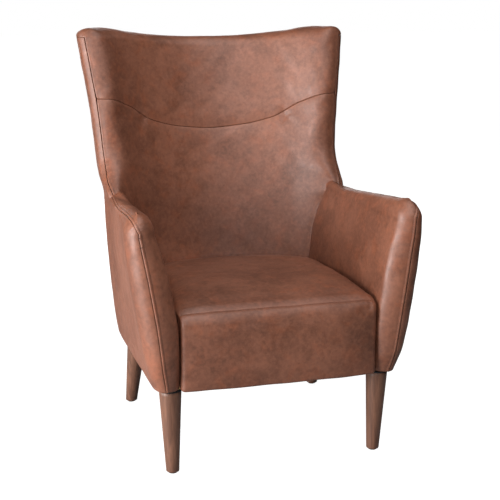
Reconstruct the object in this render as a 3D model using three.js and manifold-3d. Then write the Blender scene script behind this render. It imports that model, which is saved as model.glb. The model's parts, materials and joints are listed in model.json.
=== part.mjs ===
// Fireside chair with shallow wings: upholstered body on four turned legs.
// Millimetres, +Z up, the chair faces -Y, and -X is the left side as one looks at its front.
// Heights count from the floor. Depths count from the line through the front feet, until the
// finished chair is moved so that its origin lies at the bottom centre of its bounding box.

import * as THREE from 'three';
import { mergeVertices } from 'three/addons/utils/BufferGeometryUtils.js';
import Module from 'manifold-3d';

const wasm = await Module();
wasm.setup();

// Clearances
const clearance = 0.3; // between two pieces that lie against each other
const seamGap = 1.6; // between two leather panels at a sewn seam
const overrun = 6; // how far a cutting solid runs past what it cuts
const sameSpot = 0.03; // points closer than this are one

// Skins and padding
const leather = 1.8; // leather with its wadding
const backFoam = 34; // back pad behind the sitter, at the seat
const backFoamTop = 20; // and at the top edge
const wingFoam = 14; // the same pad where it thins out into the wings
const armFoam = 16; // pad on the inside, top and front of an arm
const borderFoam = 24; // pad behind the seat's front border
const padSlack = 1.6; // room behind the back pad

// Body heights
const bodyBottom = 217;
const seatEdge = 396; // seat top along the arms and the back
const seatFrontSeam = 404; // seam between the seat top and the front border
const seatCrown = 436;
const armShoulder = 594; // where the arm starts to roll over
const armCrestFront = 645;
const armCrestLow = 612; // lowest place of the crest, in front of the wing's foot
const backTopCentre = 1009;
const backTopPeak = 1038; // the top edge rises towards the wings
const topRoll = 24; // height of the rolled top edge
const topRollSteps = 3;

// Arms, as half widths from the chair's middle plane
const seatHalf = 244; // inner face of an arm at the bottom
const armInnerFlare = 52; // how far the inner face leans out by the shoulder
const armInnerTaper = 14; // how far it draws in towards the back
const armOuterBase = 302; // outer face at the bottom, at the front
const armOuterFlare = 68;
const armFlarePower = 1.5; // bend of the outer face, seen from above, towards its flared front
const armFront = -42; // depth of the arm front at its bottom and top
const armFrontCrown = 23; // how far the padded front swells forward
const armInnerCorner = 20; // depth of the rounded inner front edge
const armOuterCorner = 46; // depth of the rounded outer front edge
const armFrontRound = 50; // how far the front draws back as the top rolls over
const armTopRadius = 32; // radius of the rolled top at its stitched seam
const tuckDepth = 14; // how far an arm's leather runs in behind the back's surface
const armHeightShares = [0, 0.15, 0.28, 0.43, 0.5, 0.72, 0.8, 0.92, 1];
const armInnerShares = [0, 0.01, 0.02, 0.09, 0.17, 0.42, 0.56, 0.82, 1];
const armOuterShares = [0, 0.27, 0.42, 0.56, 0.62, 0.83, 0.89, 0.97, 1];
const armFrontShares = [0, 0.74, 0.92, 1, 0.98, 0.78, 0.68, 0.52, 0.35];
const armSeamShare = 0.6; // place of the stitched seam across the arm's front
const armCrestShare = 0.42; // place of the crest across the arm
const armCrestPlaceShares = [0, 0.1, 0.277, 0.53, 0.653, 0.708, 0.796, 0.83, 0.92];
const armCrestRiseShares = [0.95, 0.82, 0.545, 0.15, 0, 0.06, 0.36, 0.42, 0.44];
const armPlaceShares = [0, 0.08, 0.2, 0.34, 0.52, 0.76]; // columns along an arm's inner face, from the rear
const armTurnShares = [0, 0.33, 0.67, 1]; // and round its front edges
// How far round the top's quarter turn the stitched seam lies, at each of those columns
const armSeamTurnShares = [0.5, 0.5, 0.6, 0.45, 0.28, 0.4, 0.52, 0.5, 0.38, 0.1];
const armInnerTurnShares = [0.48, 0.48, 0.48, 0.48, 0.48, 0.48, 0.48, 0.42, 0.26, 0.1];
const armRowShares = [0, 0.1, 0.26, 0.42, 0.58, 0.74, 0.88, 1];
const armInsideRow = 2; // row of the skin at which the inner face starts, above the rails

// Back and wings
const backDepthAtSeat = 545; // middle of the inside back at the seat
const bodyThickBottom = 43; // from there to the outside back at the bottom
const backRecline = 0.2438; // depth gained for each unit of height
const backCurve = 715; // twice the radius of the inside back's hollow, seen from above
const wingStart = 206; // half width at which the wings leave the hollow
const wingBend = 1.7; // power of the wings' outward flare
const outerBackBottom = backDepthAtSeat + bodyThickBottom; // middle of the outside back
const outerBackRun = 155; // how much deeper it lies at the top
const outerSquareness = 4; // power of the rounded rear corners
const wingNoseFoot = 30; // width of a wing's rounded front edge at its foot, inside the arm
const wingNoseWidth = 54; // and above the arms
const wingNoseRise = 110; // height over which it grows
const wingNoseSet = 8; // its inner end behind the front edge's line, at the foot
const wingNoseProud = 8; // and in front of that line above the arms
const wingNoseDepth = 24;
const wingNoseBulge = 15;
const wingSeamShare = 0.62; // place of the wing's seam round that edge
const headrestSeamCentre = 755;
const headrestSeamWing = 853; // where the seam ends on the wing's edge
const headrestPlaceShares = [-0.31, 0, 0.31, 0.51, 0.635, 0.75, 0.82, 0.89, 1];
const headrestRiseShares = [0.08, 0, 0.08, 0.21, 0.34, 0.56, 0.71, 0.82, 1];
const seamPull = 4; // how deep a sewn seam draws the padding in
const wingTipHeight = 1041;
const wingTipHalf = 378;
const bodyHalf = 308; // outside half width at the bottom
const wingTipSet = 35; // wings' top corners behind the middle of the inside back at the seat
const wingTipDepth = backDepthAtSeat + wingTipSet;
const wingFootAhead = 165; // foot of the front edge's line, inside the arm, ahead of it
const wingFootDepth = backDepthAtSeat - wingFootAhead;
const sideHeightShares = [0, 0.045, 0.19, 0.335, 0.445, 0.494, 0.518, 0.597, 0.748, 0.834, 0.965, 1];
const sideHalfShares = [0, 0.076, 0.195, 0.277, 0.304, 0.369, 0.423, 0.48, 0.63, 0.76, 0.96, 1];
const tipHeightShares = [0, 0.244, 0.421, 0.494, 0.518, 0.555, 0.597, 0.748, 0.834, 0.965, 1];
const tipDepthShares = [0, 0.2, 0.363, 0.33, 0.46, 0.594, 0.68, 0.76, 0.83, 0.96, 1];
const topEdgePlaceShares = [0, 0.3, 0.83, 1];
const topEdgeRiseShares = [0, 0.12, 1, 1];
// Columns from a wing's edge to the middle: share along the inner sheet, and share of the
// quarter turn along the outer sheet. The thin column lies at the rear corner seam.
const backInnerShares = [1, 0.93, 0.84, 0.75, 0.745, 0.6, 0.4, 0.2, 0];
const backOuterShares = [0, 0.1, 0.23, 0.36, 0.365, 0.5, 0.66, 0.83, 1];
const cornerSeamColumn = 3;
const backLowerShares = [0, 0.07, 0.25, 0.36, 0.47, 0.58, 0.69, 0.76, 0.83, 0.92];
const backUpperShares = [0.33, 0.67, 1];
const insideBackRow = 2; // row of the skin at which the inside back's leather starts
const wingPanelRow = 5; // row at which the wings' outside panels start, inside the arms
const panelGap = 2.5; // wing panel to arm panel, where both bend over the arm
const tackRailThick = 16;

// Seat
const seatFront = -48; // depth of the front border at its edges
const seatBorderCrown = 12; // how far the border swells forward
const seatSwellPower = 4; // how flat that swelling is in its middle
const seatSideGap = 2.5; // seat to arm
const seatEdgePower = 5; // how square the seat's rounded edges are
const seatSideDrop = 28; // how far the seat's sides roll down below its top edge
const seatCornerShare = 0.1; // part of the seat's depth over which the sides' roll sets in
const seatStepPower = 1.5; // closer steps towards the seat's front
const seatProfilePlaceShares = [0, 0.04, 0.12, 0.35, 0.65, 1];
const seatProfileShares = [0.2, 0.55, 0.82, 1, 0.9, 0];
const seatSwellShares = [0.2, 0.8]; // part of a half wave that the border's swelling follows upwards

// Timber frame
const railThick = 25;
const railHeight = 88;
const sideRailHalf = 251; // inner face of a side rail
const postWidth = 34;
const postDepth = 30;
const postHalf = 256; // inner face of a back post
const postAhead = 67; // post's foot ahead of the middle of the inside back
const postFrontBottom = backDepthAtSeat - postAhead;
const postRun = 174; // how much deeper the post's top lies
const postFrontTop = postFrontBottom + postRun;
const postTop = 944;
const frameLagPower = 4; // how late a cross rail bends from the pad over to the posts
const topRailHeight = 30;
const topRailDepth = 22;
const lumbarRailBottom = 402;
const lumbarRailHeight = 45;
const armPostThick = 25;
const armPostInset = 16; // post behind the rounded outer front edge
const armFrameSlack = 3; // room between an arm's padding and its frame
const armRailHeight = 24;
const armRailDrop = 78; // arm rail's underside below the crest's front end
const armRailWidth = 30;
const armRailPast = 6; // how far it runs past a back post's front
const wingBoardThick = 12;
const boardSlack = 11; // room between a wing board and the top rail's end
const blockReach = 70; // leg of a triangular corner block
const blockHeight = 60;
const blockRise = 10; // block above the rail's underside
const dustClothThick = 1;
const dustClothInset = 12; // in from the body's sides
const dustClothShares = [0, 0.5, 0.65, 0.77, 0.86, 0.92]; // places round the rear corners

// Springs and webbing
const springWire = 3.8;
const springCount = 5;
const springSpacing = 88;
const springWaves = 8;
const springSwing = 22; // half width of a spring's waves
const springArch = 10;
const springWaveSteps = 6;
const springSides = 5;
const webbingWidth = 50;
const webbingThick = 2;
const webbingHeightShares = [0.49, 0.585, 0.68]; // middles of the straps, of the top edge's height

// Legs
const legTopRadius = 27;
const legBottomRadius = 16;
const legEdge = 2; // rounded edges of a leg
const legSides = 20;
const plateThick = 3;
const plateRadius = 29;
const glideRadius = 12;
const glideThick = 3;
const boltRadius = 4;
const boltInLeg = 45;
const boltInRail = 12;
const frontLegBottom = { half: 259, depth: 0 };
const frontLegTop = { half: 263, depth: -4 };
const rearLegBottom = { half: 271, depth: 506 };
const rearLegTop = { half: 258, depth: 455 };

// Heights and depths that follow from the sizes above
const railBottom = bodyBottom;
const railTop = railBottom + railHeight;
const dustClothTop = railBottom - clearance;
const plateTop = dustClothTop - dustClothThick - clearance;
const legTop = plateTop - plateThick - clearance;
const frontRailFront = seatFront + leather + clearance + borderFoam + clearance;
const seatDeck = railTop + clearance + springWire + springArch + clearance;

// Finishes
const finishes = {
  leather: { color: 0x80503e, roughness: 0.5, metalness: 0 },
  foam: { color: 0xe6d9a8, roughness: 0.95, metalness: 0 },
  timber: { color: 0xc9a06a, roughness: 0.75, metalness: 0 },
  legWood: { color: 0x7a5b49, roughness: 0.45, metalness: 0 },
  steel: { color: 0x8d9094, roughness: 0.35, metalness: 1 },
  blackSteel: { color: 0x1d1d1e, roughness: 0.5, metalness: 0.6 },
  webbing: { color: 0x3a3a3c, roughness: 0.9, metalness: 0 },
  dustCloth: { color: 0x161617, roughness: 0.95, metalness: 0 },
  glide: { color: 0x2a2522, roughness: 0.6, metalness: 0 },
};

const chair = new THREE.Group();

// Adds one named piece to the chair.
function addPiece(name, geometry, finish) {
  const mesh = new THREE.Mesh(geometry, new THREE.MeshStandardMaterial(finishes[finish]));
  mesh.name = name;
  chair.add(mesh);
  return mesh;
}

// Smooth line through chosen places, without overshoot: a cubic between each two places,
// whose slope at a place is the harmonic mean of its neighbours' slopes.
function smoothLine(places, values) {
  const steps = places.slice(1).map((place, i) => place - places[i]);
  const slopes = steps.map((step, i) => (values[i + 1] - values[i]) / step);
  const tangents = places.map((place, i) => {
    if (i === 0) return slopes[0];
    if (i === slopes.length) return slopes[i - 1];
    if (slopes[i - 1] * slopes[i] <= 0) return 0;
    return (2 * slopes[i - 1] * slopes[i]) / (slopes[i - 1] + slopes[i]);
  });
  return (place) => {
    const inside = THREE.MathUtils.clamp(place, places[0], places[places.length - 1]);
    let i = 0;
    while (i < slopes.length - 1 && inside > places[i + 1]) i += 1;
    const t = (inside - places[i]) / steps[i];
    const rise = values[i + 1] - values[i];
    const start = tangents[i] * steps[i];
    const end = tangents[i + 1] * steps[i];
    return values[i] + start * t + (3 * rise - 2 * start - end) * t * t
      + (start + end - 2 * rise) * t * t * t;
  };
}

function mix(from, to, share) {
  return from + (to - from) * share;
}

function mixPoints(from, to, share) {
  return new THREE.Vector3().lerpVectors(from, to, share);
}

// Evenly spaced numbers from first to last, both included.
function spaced(first, last, count) {
  return Array.from({ length: count + 1 }, (unused, i) => mix(first, last, i / count));
}

// Shape of the body

const armInnerLine = smoothLine(armHeightShares, armInnerShares);
const armOuterLine = smoothLine(armHeightShares, armOuterShares);
const armFrontLine = smoothLine(armHeightShares, armFrontShares);
const sideLine = smoothLine(sideHeightShares, sideHalfShares);
const tipLine = smoothLine(tipHeightShares, tipDepthShares);

function armShare(z) {
  return (z - bodyBottom) / (armShoulder - bodyBottom);
}

function bodyShare(z) {
  return (z - bodyBottom) / (wingTipHeight - bodyBottom);
}

// Outside half width of the body beside the wings and behind the arms.
function sideHalf(z) {
  return mix(bodyHalf, wingTipHalf, sideLine(bodyShare(z)));
}

// Depth of the wings' front edge.
function tipDepth(z) {
  return mix(wingFootDepth, wingTipDepth, tipLine(bodyShare(z)));
}

// Width of a wing's rounded front edge, and how far its inner end lies behind that edge's line.
function wingNose(z) {
  const grown = THREE.MathUtils.smoothstep(z, armShoulder, armShoulder + wingNoseRise);
  return {
    width: mix(wingNoseFoot, wingNoseWidth, grown),
    behind: mix(wingNoseSet, -wingNoseProud, grown),
  };
}

// Half width at which the inside back's sheet ends at a wing's rounded edge.
function wingEdge(z) {
  return sideHalf(z) - wingNose(z).width;
}

// Depth of the outside back in its middle.
function outerBack(z) {
  return outerBackBottom + (outerBackRun * (z - bodyBottom)) / (backTopCentre - bodyBottom);
}

// Depth of the inside back and wings: a hollow, from which the wings flare out again.
function backFace(x, z) {
  const hollow = backDepthAtSeat + backRecline * (z - seatEdge) - (x * x) / backCurve;
  const edge = wingEdge(z);
  const edgeHollow = backDepthAtSeat + backRecline * (z - seatEdge) - (edge * edge) / backCurve;
  const lift = tipDepth(z) + wingNose(z).behind - edgeHollow;
  const along = Math.max(0, (Math.abs(x) - wingStart) / (edge - wingStart));
  return hollow + lift * along ** wingBend;
}

// Outside half width at a depth: straight sides that round into the back.
function outerHalf(y, z) {
  const start = tipDepth(z) + wingNoseDepth;
  if (y <= start) {
    const front = armOuterBase + armOuterFlare * armOuterLine(Math.min(1, armShare(z)));
    const along = (start - y) / (start - armFront);
    return sideHalf(z) + (front - sideHalf(z)) * along ** armFlarePower;
  }
  const along = (y - start) / (outerBack(z) - start);
  return sideHalf(z) * (1 - along ** outerSquareness) ** (1 / outerSquareness);
}

// How far a rear corner has reached back at a share of its quarter turn, and, with the turn
// taken from its other end, how wide it still is.
function cornerReach(share) {
  return Math.max(0, Math.sin((Math.PI / 2) * share)) ** (2 / outerSquareness);
}

// Inner half width of an arm at a depth.
function armInner(y, z) {
  const along = THREE.MathUtils.clamp(y / backDepthAtSeat, 0, 1);
  return seatHalf + armInnerFlare * armInnerLine(armShare(z)) - armInnerTaper * along;
}

// Skins: grids of points with an outward normal at each point, from which layers are made

class Skin {
  // rows holds rows of points from the bottom up. On the top row, points that coincide
  // share one vertex, which closes the crest. A ring's last column meets its first.
  constructor(rows, isRing) {
    this.rows = rows;
    this.isRing = isRing;
    this.columns = rows[0].length;
    this.points = [];
    this.ids = rows.map((row) => row.map((point) => this.points.push(point) - 1));
    const top = this.ids[rows.length - 1];
    top.forEach((id, i) => {
      const isTwin = (other) => this.points[other].distanceTo(this.points[id]) < sameSpot;
      top[i] = top.find(isTwin);
    });
    this.findNormals();
  }

  cellCorners(column, row) {
    const next = (column + 1) % this.columns;
    return [
      this.ids[row][column], this.ids[row][next],
      this.ids[row + 1][next], this.ids[row + 1][column],
    ];
  }

  cells() {
    const across = this.isRing ? this.columns : this.columns - 1;
    const list = [];
    for (let row = 0; row < this.rows.length - 1; row += 1) {
      for (let column = 0; column < across; column += 1) {
        list.push([column, row]);
      }
    }
    return list;
  }

  findNormals() {
    this.normals = this.points.map(() => new THREE.Vector3());
    for (const [column, row] of this.cells()) {
      const corners = this.cellCorners(column, row);
      const [a, b, c, d] = corners.map((id) => this.points[id]);
      const face = new THREE.Vector3().crossVectors(
        new THREE.Vector3().subVectors(c, a),
        new THREE.Vector3().subVectors(d, b),
      );
      new Set(corners).forEach((id) => this.normals[id].add(face));
    }
    this.normals.forEach((normal) => normal.normalize());
  }

  // Points of the skin, moved in by a depth.
  inset(depth) {
    return this.points.map((point, i) => point.clone().addScaledVector(this.normals[i], -depth));
  }

  // Closed solid between two sets of the skin's points, over the cells that keep says.
  layer(outer, inner, keep) {
    const triangles = [];
    const edges = new Map();
    const count = outer.length;
    for (const [column, row] of this.cells()) {
      if (keep(column, row)) {
        const corners = this.cellCorners(column, row);
        for (const triangle of [[0, 1, 2], [0, 2, 3]]) {
          const [a, b, c] = triangle.map((i) => corners[i]);
          if (a !== b && b !== c && c !== a) {
            triangles.push([a, b, c], [a + count, c + count, b + count]);
            [[a, b], [b, c], [c, a]].forEach(([from, to]) => {
              if (!edges.delete(`${to},${from}`)) edges.set(`${from},${to}`, [from, to]);
            });
          }
        }
      }
    }
    for (const [from, to] of edges.values()) {
      triangles.push([to, from, from + count], [to, from + count, to + count]);
    }
    return closedGeometry([...outer, ...inner], triangles);
  }

  // The same solid put together from one wedge for each triangle, which stays sound where the
  // inner points crowd together round a tight bend.
  wedgedLayer(outer, inner, keep) {
    const wedges = [];
    for (const [column, row] of this.cells()) {
      if (keep(column, row)) {
        const corners = this.cellCorners(column, row);
        for (const triangle of [[0, 1, 2], [0, 2, 3]]) {
          const ids = triangle.map((i) => corners[i]);
          const ends = [...ids.map((id) => outer[id]), ...ids.map((id) => inner[id])];
          if (new Set(ids).size === 3) wedges.push(wasm.Manifold.hull(ends.map((end) => end.toArray())));
        }
      }
    }
    return toGeometry(wasm.Manifold.union(wedges));
  }
}

// Geometry from points and triangles, keeping only the points in use.
function closedGeometry(points, triangles) {
  const used = new Map();
  const position = [];
  const index = triangles.flat().map((id) => {
    if (!used.has(id)) {
      used.set(id, used.size);
      position.push(...points[id].toArray());
    }
    return used.get(id);
  });
  const geometry = new THREE.BufferGeometry();
  geometry.setAttribute('position', new THREE.Float32BufferAttribute(position, 3));
  geometry.setIndex(index);
  return geometry;
}

// A block bent into shape: place(a, b, c) gives the point for shares 0 to 1 along the three
// edges, and each number of steps says how finely an edge is divided.
function bentBlock(place, steps) {
  const [aSteps, bSteps, cSteps] = steps;
  const ids = new Map();
  const points = [];
  const triangles = [];
  const idOf = (a, b, c) => {
    const key = `${a},${b},${c}`;
    if (!ids.has(key)) ids.set(key, points.push(place(a / aSteps, b / bSteps, c / cSteps)) - 1);
    return ids.get(key);
  };
  const addFace = (p, q, r, s) => triangles.push([p, q, r], [p, r, s]);
  for (let a = 0; a < aSteps; a += 1) {
    for (let b = 0; b < bSteps; b += 1) {
      addFace(idOf(a, b, 0), idOf(a, b + 1, 0), idOf(a + 1, b + 1, 0), idOf(a + 1, b, 0));
      const top = [[a, b], [a + 1, b], [a + 1, b + 1], [a, b + 1]];
      addFace(...top.map(([i, j]) => idOf(i, j, cSteps)));
    }
  }
  for (let b = 0; b < bSteps; b += 1) {
    for (let c = 0; c < cSteps; c += 1) {
      addFace(idOf(0, b, c), idOf(0, b, c + 1), idOf(0, b + 1, c + 1), idOf(0, b + 1, c));
      const side = [[b, c], [b + 1, c], [b + 1, c + 1], [b, c + 1]];
      addFace(...side.map(([i, j]) => idOf(aSteps, i, j)));
    }
  }
  for (let a = 0; a < aSteps; a += 1) {
    for (let c = 0; c < cSteps; c += 1) {
      addFace(idOf(a, 0, c), idOf(a + 1, 0, c), idOf(a + 1, 0, c + 1), idOf(a, 0, c + 1));
      const rear = [[a, c], [a, c + 1], [a + 1, c + 1], [a + 1, c]];
      addFace(...rear.map(([i, j]) => idOf(i, bSteps, j)));
    }
  }
  return closedGeometry(points, triangles);
}

// Booleans

function toSolid(geometry) {
  const bare = geometry.clone();
  bare.deleteAttribute('normal');
  bare.deleteAttribute('uv');
  const merged = mergeVertices(bare);
  return new wasm.Manifold(new wasm.Mesh({
    numProp: 3,
    vertProperties: Float32Array.from(merged.attributes.position.array),
    triVerts: Uint32Array.from(merged.index.array),
  }));
}

function toGeometry(solid) {
  const mesh = solid.getMesh();
  const geometry = new THREE.BufferGeometry();
  geometry.setAttribute('position', new THREE.BufferAttribute(mesh.vertProperties, 3));
  geometry.setIndex(new THREE.BufferAttribute(mesh.triVerts, 1));
  return geometry;
}

function cutAway(geometry, ...cutters) {
  const rest = cutters.reduce((solid, cutter) => solid.subtract(toSolid(cutter)), toSolid(geometry));
  return toGeometry(largestPart(rest));
}

// A cut can leave slivers behind: only the largest body is the piece.
function largestPart(solid) {
  const parts = solid.decompose();
  return parts.reduce((best, part) => (part.volume() > best.volume() ? part : best));
}

// Mirrors a geometry to the other side of the chair's middle plane.
function mirrored(geometry) {
  const twin = geometry.clone();
  twin.scale(-1, 1, 1);
  const index = twin.index.array.slice();
  for (let i = 0; i < index.length; i += 3) {
    [index[i], index[i + 1]] = [index[i + 1], index[i]];
  }
  twin.setIndex(new THREE.BufferAttribute(index, 1));
  return twin;
}

function addPair(name, rightGeometry, finish) {
  addPiece(`${name}_right`, rightGeometry, finish);
  addPiece(`${name}_left`, mirrored(rightGeometry), finish);
}

// Arms

const armFaceSteps = armPlaceShares.length; // columns along the inner and the outer face
const armHalfColumns = armFaceSteps + armTurnShares.length - 1;
const armCrestLine = smoothLine(armCrestPlaceShares, armCrestRiseShares);

// Height of an arm's crest at a depth.
function armCrest(y) {
  return mix(armCrestLow, armCrestFront, armCrestLine(y / backDepthAtSeat));
}

// Depth at which an arm's inner face ends behind the back's surface.
function armInnerEnd(z) {
  const reach = armInner(backDepthAtSeat, Math.min(z, armShoulder));
  return backFace(reach, z) + tuckDepth;
}

// Depth of an outer column of an arm: up to the rear corner seam the back's own columns.
function armOuterDepth(column, z, front) {
  const start = tipDepth(z) + wingNoseDepth;
  if (column <= cornerSeamColumn) {
    return mix(start, outerBack(z), cornerReach(backOuterShares[cornerSeamColumn - column]));
  }
  return mix(start, front, (column - cornerSeamColumn) / (armFaceSteps - cornerSeamColumn));
}

// Half width and depth of one column of an arm's skin, as [x, y]. Columns count from the rear
// end of a face to the stitched seam, and roll is the angle by which the top has rolled over.
function armPlace(column, isOuter, z, roll) {
  const rolled = armFrontRound * (1 - Math.cos(roll));
  const front = armFront - armFrontCrown * armFrontLine(armShare(z)) + rolled;
  const corner = isOuter ? armOuterCorner : armInnerCorner;
  const faceAt = isOuter ? outerHalf : armInner;
  if (column < armFaceSteps) {
    const y = isOuter ? armOuterDepth(column, z, front + corner)
      : mix(armInnerEnd(z), front + corner, armPlaceShares[column]);
    return [faceAt(y, z), y];
  }
  const turn = (Math.PI / 2) * armTurnShares[column - armFaceSteps];
  const seam = mix(armInner(front, z), outerHalf(front + armOuterCorner, z), armSeamShare);
  const gapShift = column === armHalfColumns ? seamGap / 2 : 0;
  const x = mix(faceAt(front + corner, z), seam, 1 - Math.cos(turn));
  return [isOuter ? x + gapShift : x - gapShift, front + corner * (1 - Math.sin(turn))];
}

// Point of an arm's rolled top: turnOf gives the angle for the column's seam share.
function armTopPoint(column, isOuter, turnOf) {
  const turnShares = isOuter ? armSeamTurnShares : armInnerTurnShares;
  const roll = turnOf((Math.PI / 2) * turnShares[column]);
  const [x, y] = armPlace(column, isOuter, armShoulder, roll);
  const [xIn, yIn] = armPlace(column, false, armShoulder, roll);
  const [xOut, yOut] = armPlace(column, true, armShoulder, roll);
  const crestX = mix(xIn, xOut, armCrestShare);
  const crestY = mix(yIn, yOut, armCrestShare);
  const narrow = Math.cos(roll);
  const z = mix(armShoulder, armCrest(crestY), Math.sin(roll));
  return new THREE.Vector3(mix(crestX, x, narrow), mix(crestY, y, narrow), z);
}

// The arm's skin on the right side: rows up to the shoulder, then the roll to the crest.
function makeArmSkin() {
  const halfGap = seamGap / (2 * armTopRadius);
  const turns = [
    (seam) => seam / 2,
    (seam) => seam - halfGap,
    (seam) => seam + halfGap,
    (seam) => mix(seam, Math.PI / 2, 1 / 2),
    () => Math.PI / 2,
  ];
  const columns = spaced(0, armHalfColumns, armHalfColumns);
  const makeRow = (pointAt) => [
    ...columns.map((column) => pointAt(column, false)),
    ...columns.map((column) => pointAt(column, true)).reverse(),
  ];
  const lower = armRowShares.map((share) => makeRow((column, isOuter) => {
    const z = mix(bodyBottom, armShoulder, share);
    const [x, y] = armPlace(column, isOuter, z, 0);
    return new THREE.Vector3(x, y, z);
  }));
  const upper = turns.map((turnOf) => makeRow((column, isOuter) => armTopPoint(column, isOuter, turnOf)));
  return { skin: new Skin([...lower, ...upper], false), seamRow: lower.length + 1 };
}

const { skin: armSkin, seamRow: armSeamRow } = makeArmSkin();
const armSeamColumn = armHalfColumns; // the thin column at the stitched seam

// The leather band has the inner face, the front up to the seam, and the top down to the seam.
function isArmBand(column, row) {
  if (column < armFaceSteps && row < armInsideRow) return false;
  return column < armSeamColumn || row > armSeamRow;
}

function isArmOutside(column, row) {
  return column > armSeamColumn && row < armSeamRow;
}

// The whole arm as one solid, grown by a clearance, to cut its neighbours with.
function armCutter(grow) {
  const last = armSkin.columns - 1;
  const outline = armSkin.rows.map((row, j) => row.map((point, i) => (
    point.clone().addScaledVector(armSkin.normals[armSkin.ids[j][i]], grow)
  )));
  outline[0].forEach((point) => {
    point.z -= overrun;
  });
  const points = [];
  const ids = armSkin.rows.map((row, j) => row.map((unused, i) => {
    const id = armSkin.ids[j][i];
    points[id] = points[id] || outline[j][i];
    return id;
  }));
  const triangles = [];
  const addFace = (a, b, c, d) => {
    for (const triangle of [[a, b, c], [a, c, d]]) {
      if (new Set(triangle).size === 3) triangles.push(triangle);
    }
  };
  for (const [column, row] of armSkin.cells()) addFace(...armSkin.cellCorners(column, row));
  for (let i = 0; i < armHalfColumns; i += 1) {
    addFace(ids[0][i], ids[0][last - i], ids[0][last - i - 1], ids[0][i + 1]);
  }
  for (let j = 0; j < ids.length - 1; j += 1) {
    addFace(ids[j][0], ids[j + 1][0], ids[j + 1][last], ids[j][last]);
  }
  return closedGeometry(points, triangles);
}

// An arm's outside panel grown on both faces and past its rear end, to cut its neighbours with.
function armPanelCutter(grow) {
  const grownTo = (depth) => {
    const points = armSkin.inset(depth);
    for (const row of armSkin.ids) {
      const [before, end] = row.slice(-2);
      const along = new THREE.Vector3().subVectors(armSkin.points[end], armSkin.points[before]);
      points[end].addScaledVector(along.normalize(), grow);
    }
    return points;
  };
  return armSkin.layer(grownTo(-grow), grownTo(leather + grow), isArmOutside);
}

function addArms() {
  const surface = armSkin.inset(0);
  const underLeather = armSkin.inset(leather);
  const overFoam = armSkin.inset(leather + clearance);
  const underFoam = armSkin.inset(leather + clearance + armFoam);
  addPair('arm_cover', armSkin.wedgedLayer(surface, underLeather, isArmBand), 'leather');
  addPair('arm_outside_panel', armSkin.layer(surface, underLeather, isArmOutside), 'leather');
  const isPadded = (column, row) => column < armSeamColumn && row >= armInsideRow && row <= armSeamRow;
  addPair('arm_foam', armSkin.wedgedLayer(overFoam, underFoam, isPadded), 'foam');
}

// Back with wings

const noseZones = ['nose', 'wingSeam', 'wing'];

// Heights of the headrest seam and of the top edge, for a share of the way from the middle to
// a wing's edge.
const headrestSeam = smoothLine(
  headrestPlaceShares,
  headrestRiseShares.map((share) => mix(headrestSeamCentre, headrestSeamWing, share)),
);
const topEdge = smoothLine(
  topEdgePlaceShares,
  topEdgeRiseShares.map((share) => mix(backTopCentre, backTopPeak, share)),
);

// Point of the inner sheet, for a share from 0 in the middle to 1 at the wing's edge.
function innerPoint(share, z) {
  const x = share * wingEdge(z);
  return new THREE.Vector3(x, backFace(x, z), z);
}

// Point of the outer sheet, for a share from 0 at the wing's edge to 1 in the middle.
function outerPoint(share, z) {
  const start = tipDepth(z) + wingNoseDepth;
  return new THREE.Vector3(
    sideHalf(z) * cornerReach(1 - share),
    mix(start, outerBack(z), cornerReach(share)),
    z,
  );
}

// Point on the rounded front edge of a wing: half an ellipse from the inner to the outer sheet.
function nosePoint(share, z) {
  const turn = Math.PI * share;
  const from = innerPoint(1, z);
  const half = outerPoint(0, z).sub(from).multiplyScalar(1 / 2);
  const outward = new THREE.Vector3(half.y, -half.x, 0).normalize();
  return from.addScaledVector(half, 1 - Math.cos(turn))
    .addScaledVector(outward, wingNoseBulge * Math.sin(turn));
}

// The right half's columns, from the middle of the inner sheet round to the middle of the
// outer sheet. crest gives the point in the middle of the body that the top rolls over to.
function makeBackColumns() {
  const crestOf = (i) => (z) => (
    mixPoints(innerPoint(backInnerShares[i], z), outerPoint(backOuterShares[i], z), 1 / 2)
  );
  const inner = backInnerShares.map((share, i) => ({
    zone: 'inner',
    isPulled: share < 1,
    spread: share,
    point: (z) => innerPoint(share, z),
    crest: crestOf(i),
  })).reverse();
  const seamEnd = wingSeamShare + seamGap / (2 * wingNoseBulge);
  const nose = [wingSeamShare / 2, wingSeamShare, seamEnd].map((share, i) => ({
    zone: noseZones[i],
    isPulled: false,
    spread: 1,
    point: (z) => nosePoint(share, z),
    crest: crestOf(0),
  }));
  inner[inner.length - 1].zone = 'nose';
  const outer = backOuterShares.map((share, i) => ({
    zone: i < cornerSeamColumn ? 'wing' : 'rear',
    isPulled: false,
    spread: backInnerShares[i],
    point: (z) => outerPoint(share, z),
    crest: crestOf(i),
  }));
  outer[cornerSeamColumn].zone = 'cornerSeam';
  return [...inner, ...nose, ...outer];
}

const mirrorPlane = new THREE.Vector3(-1, 1, 1);
const backRight = makeBackColumns();

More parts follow.
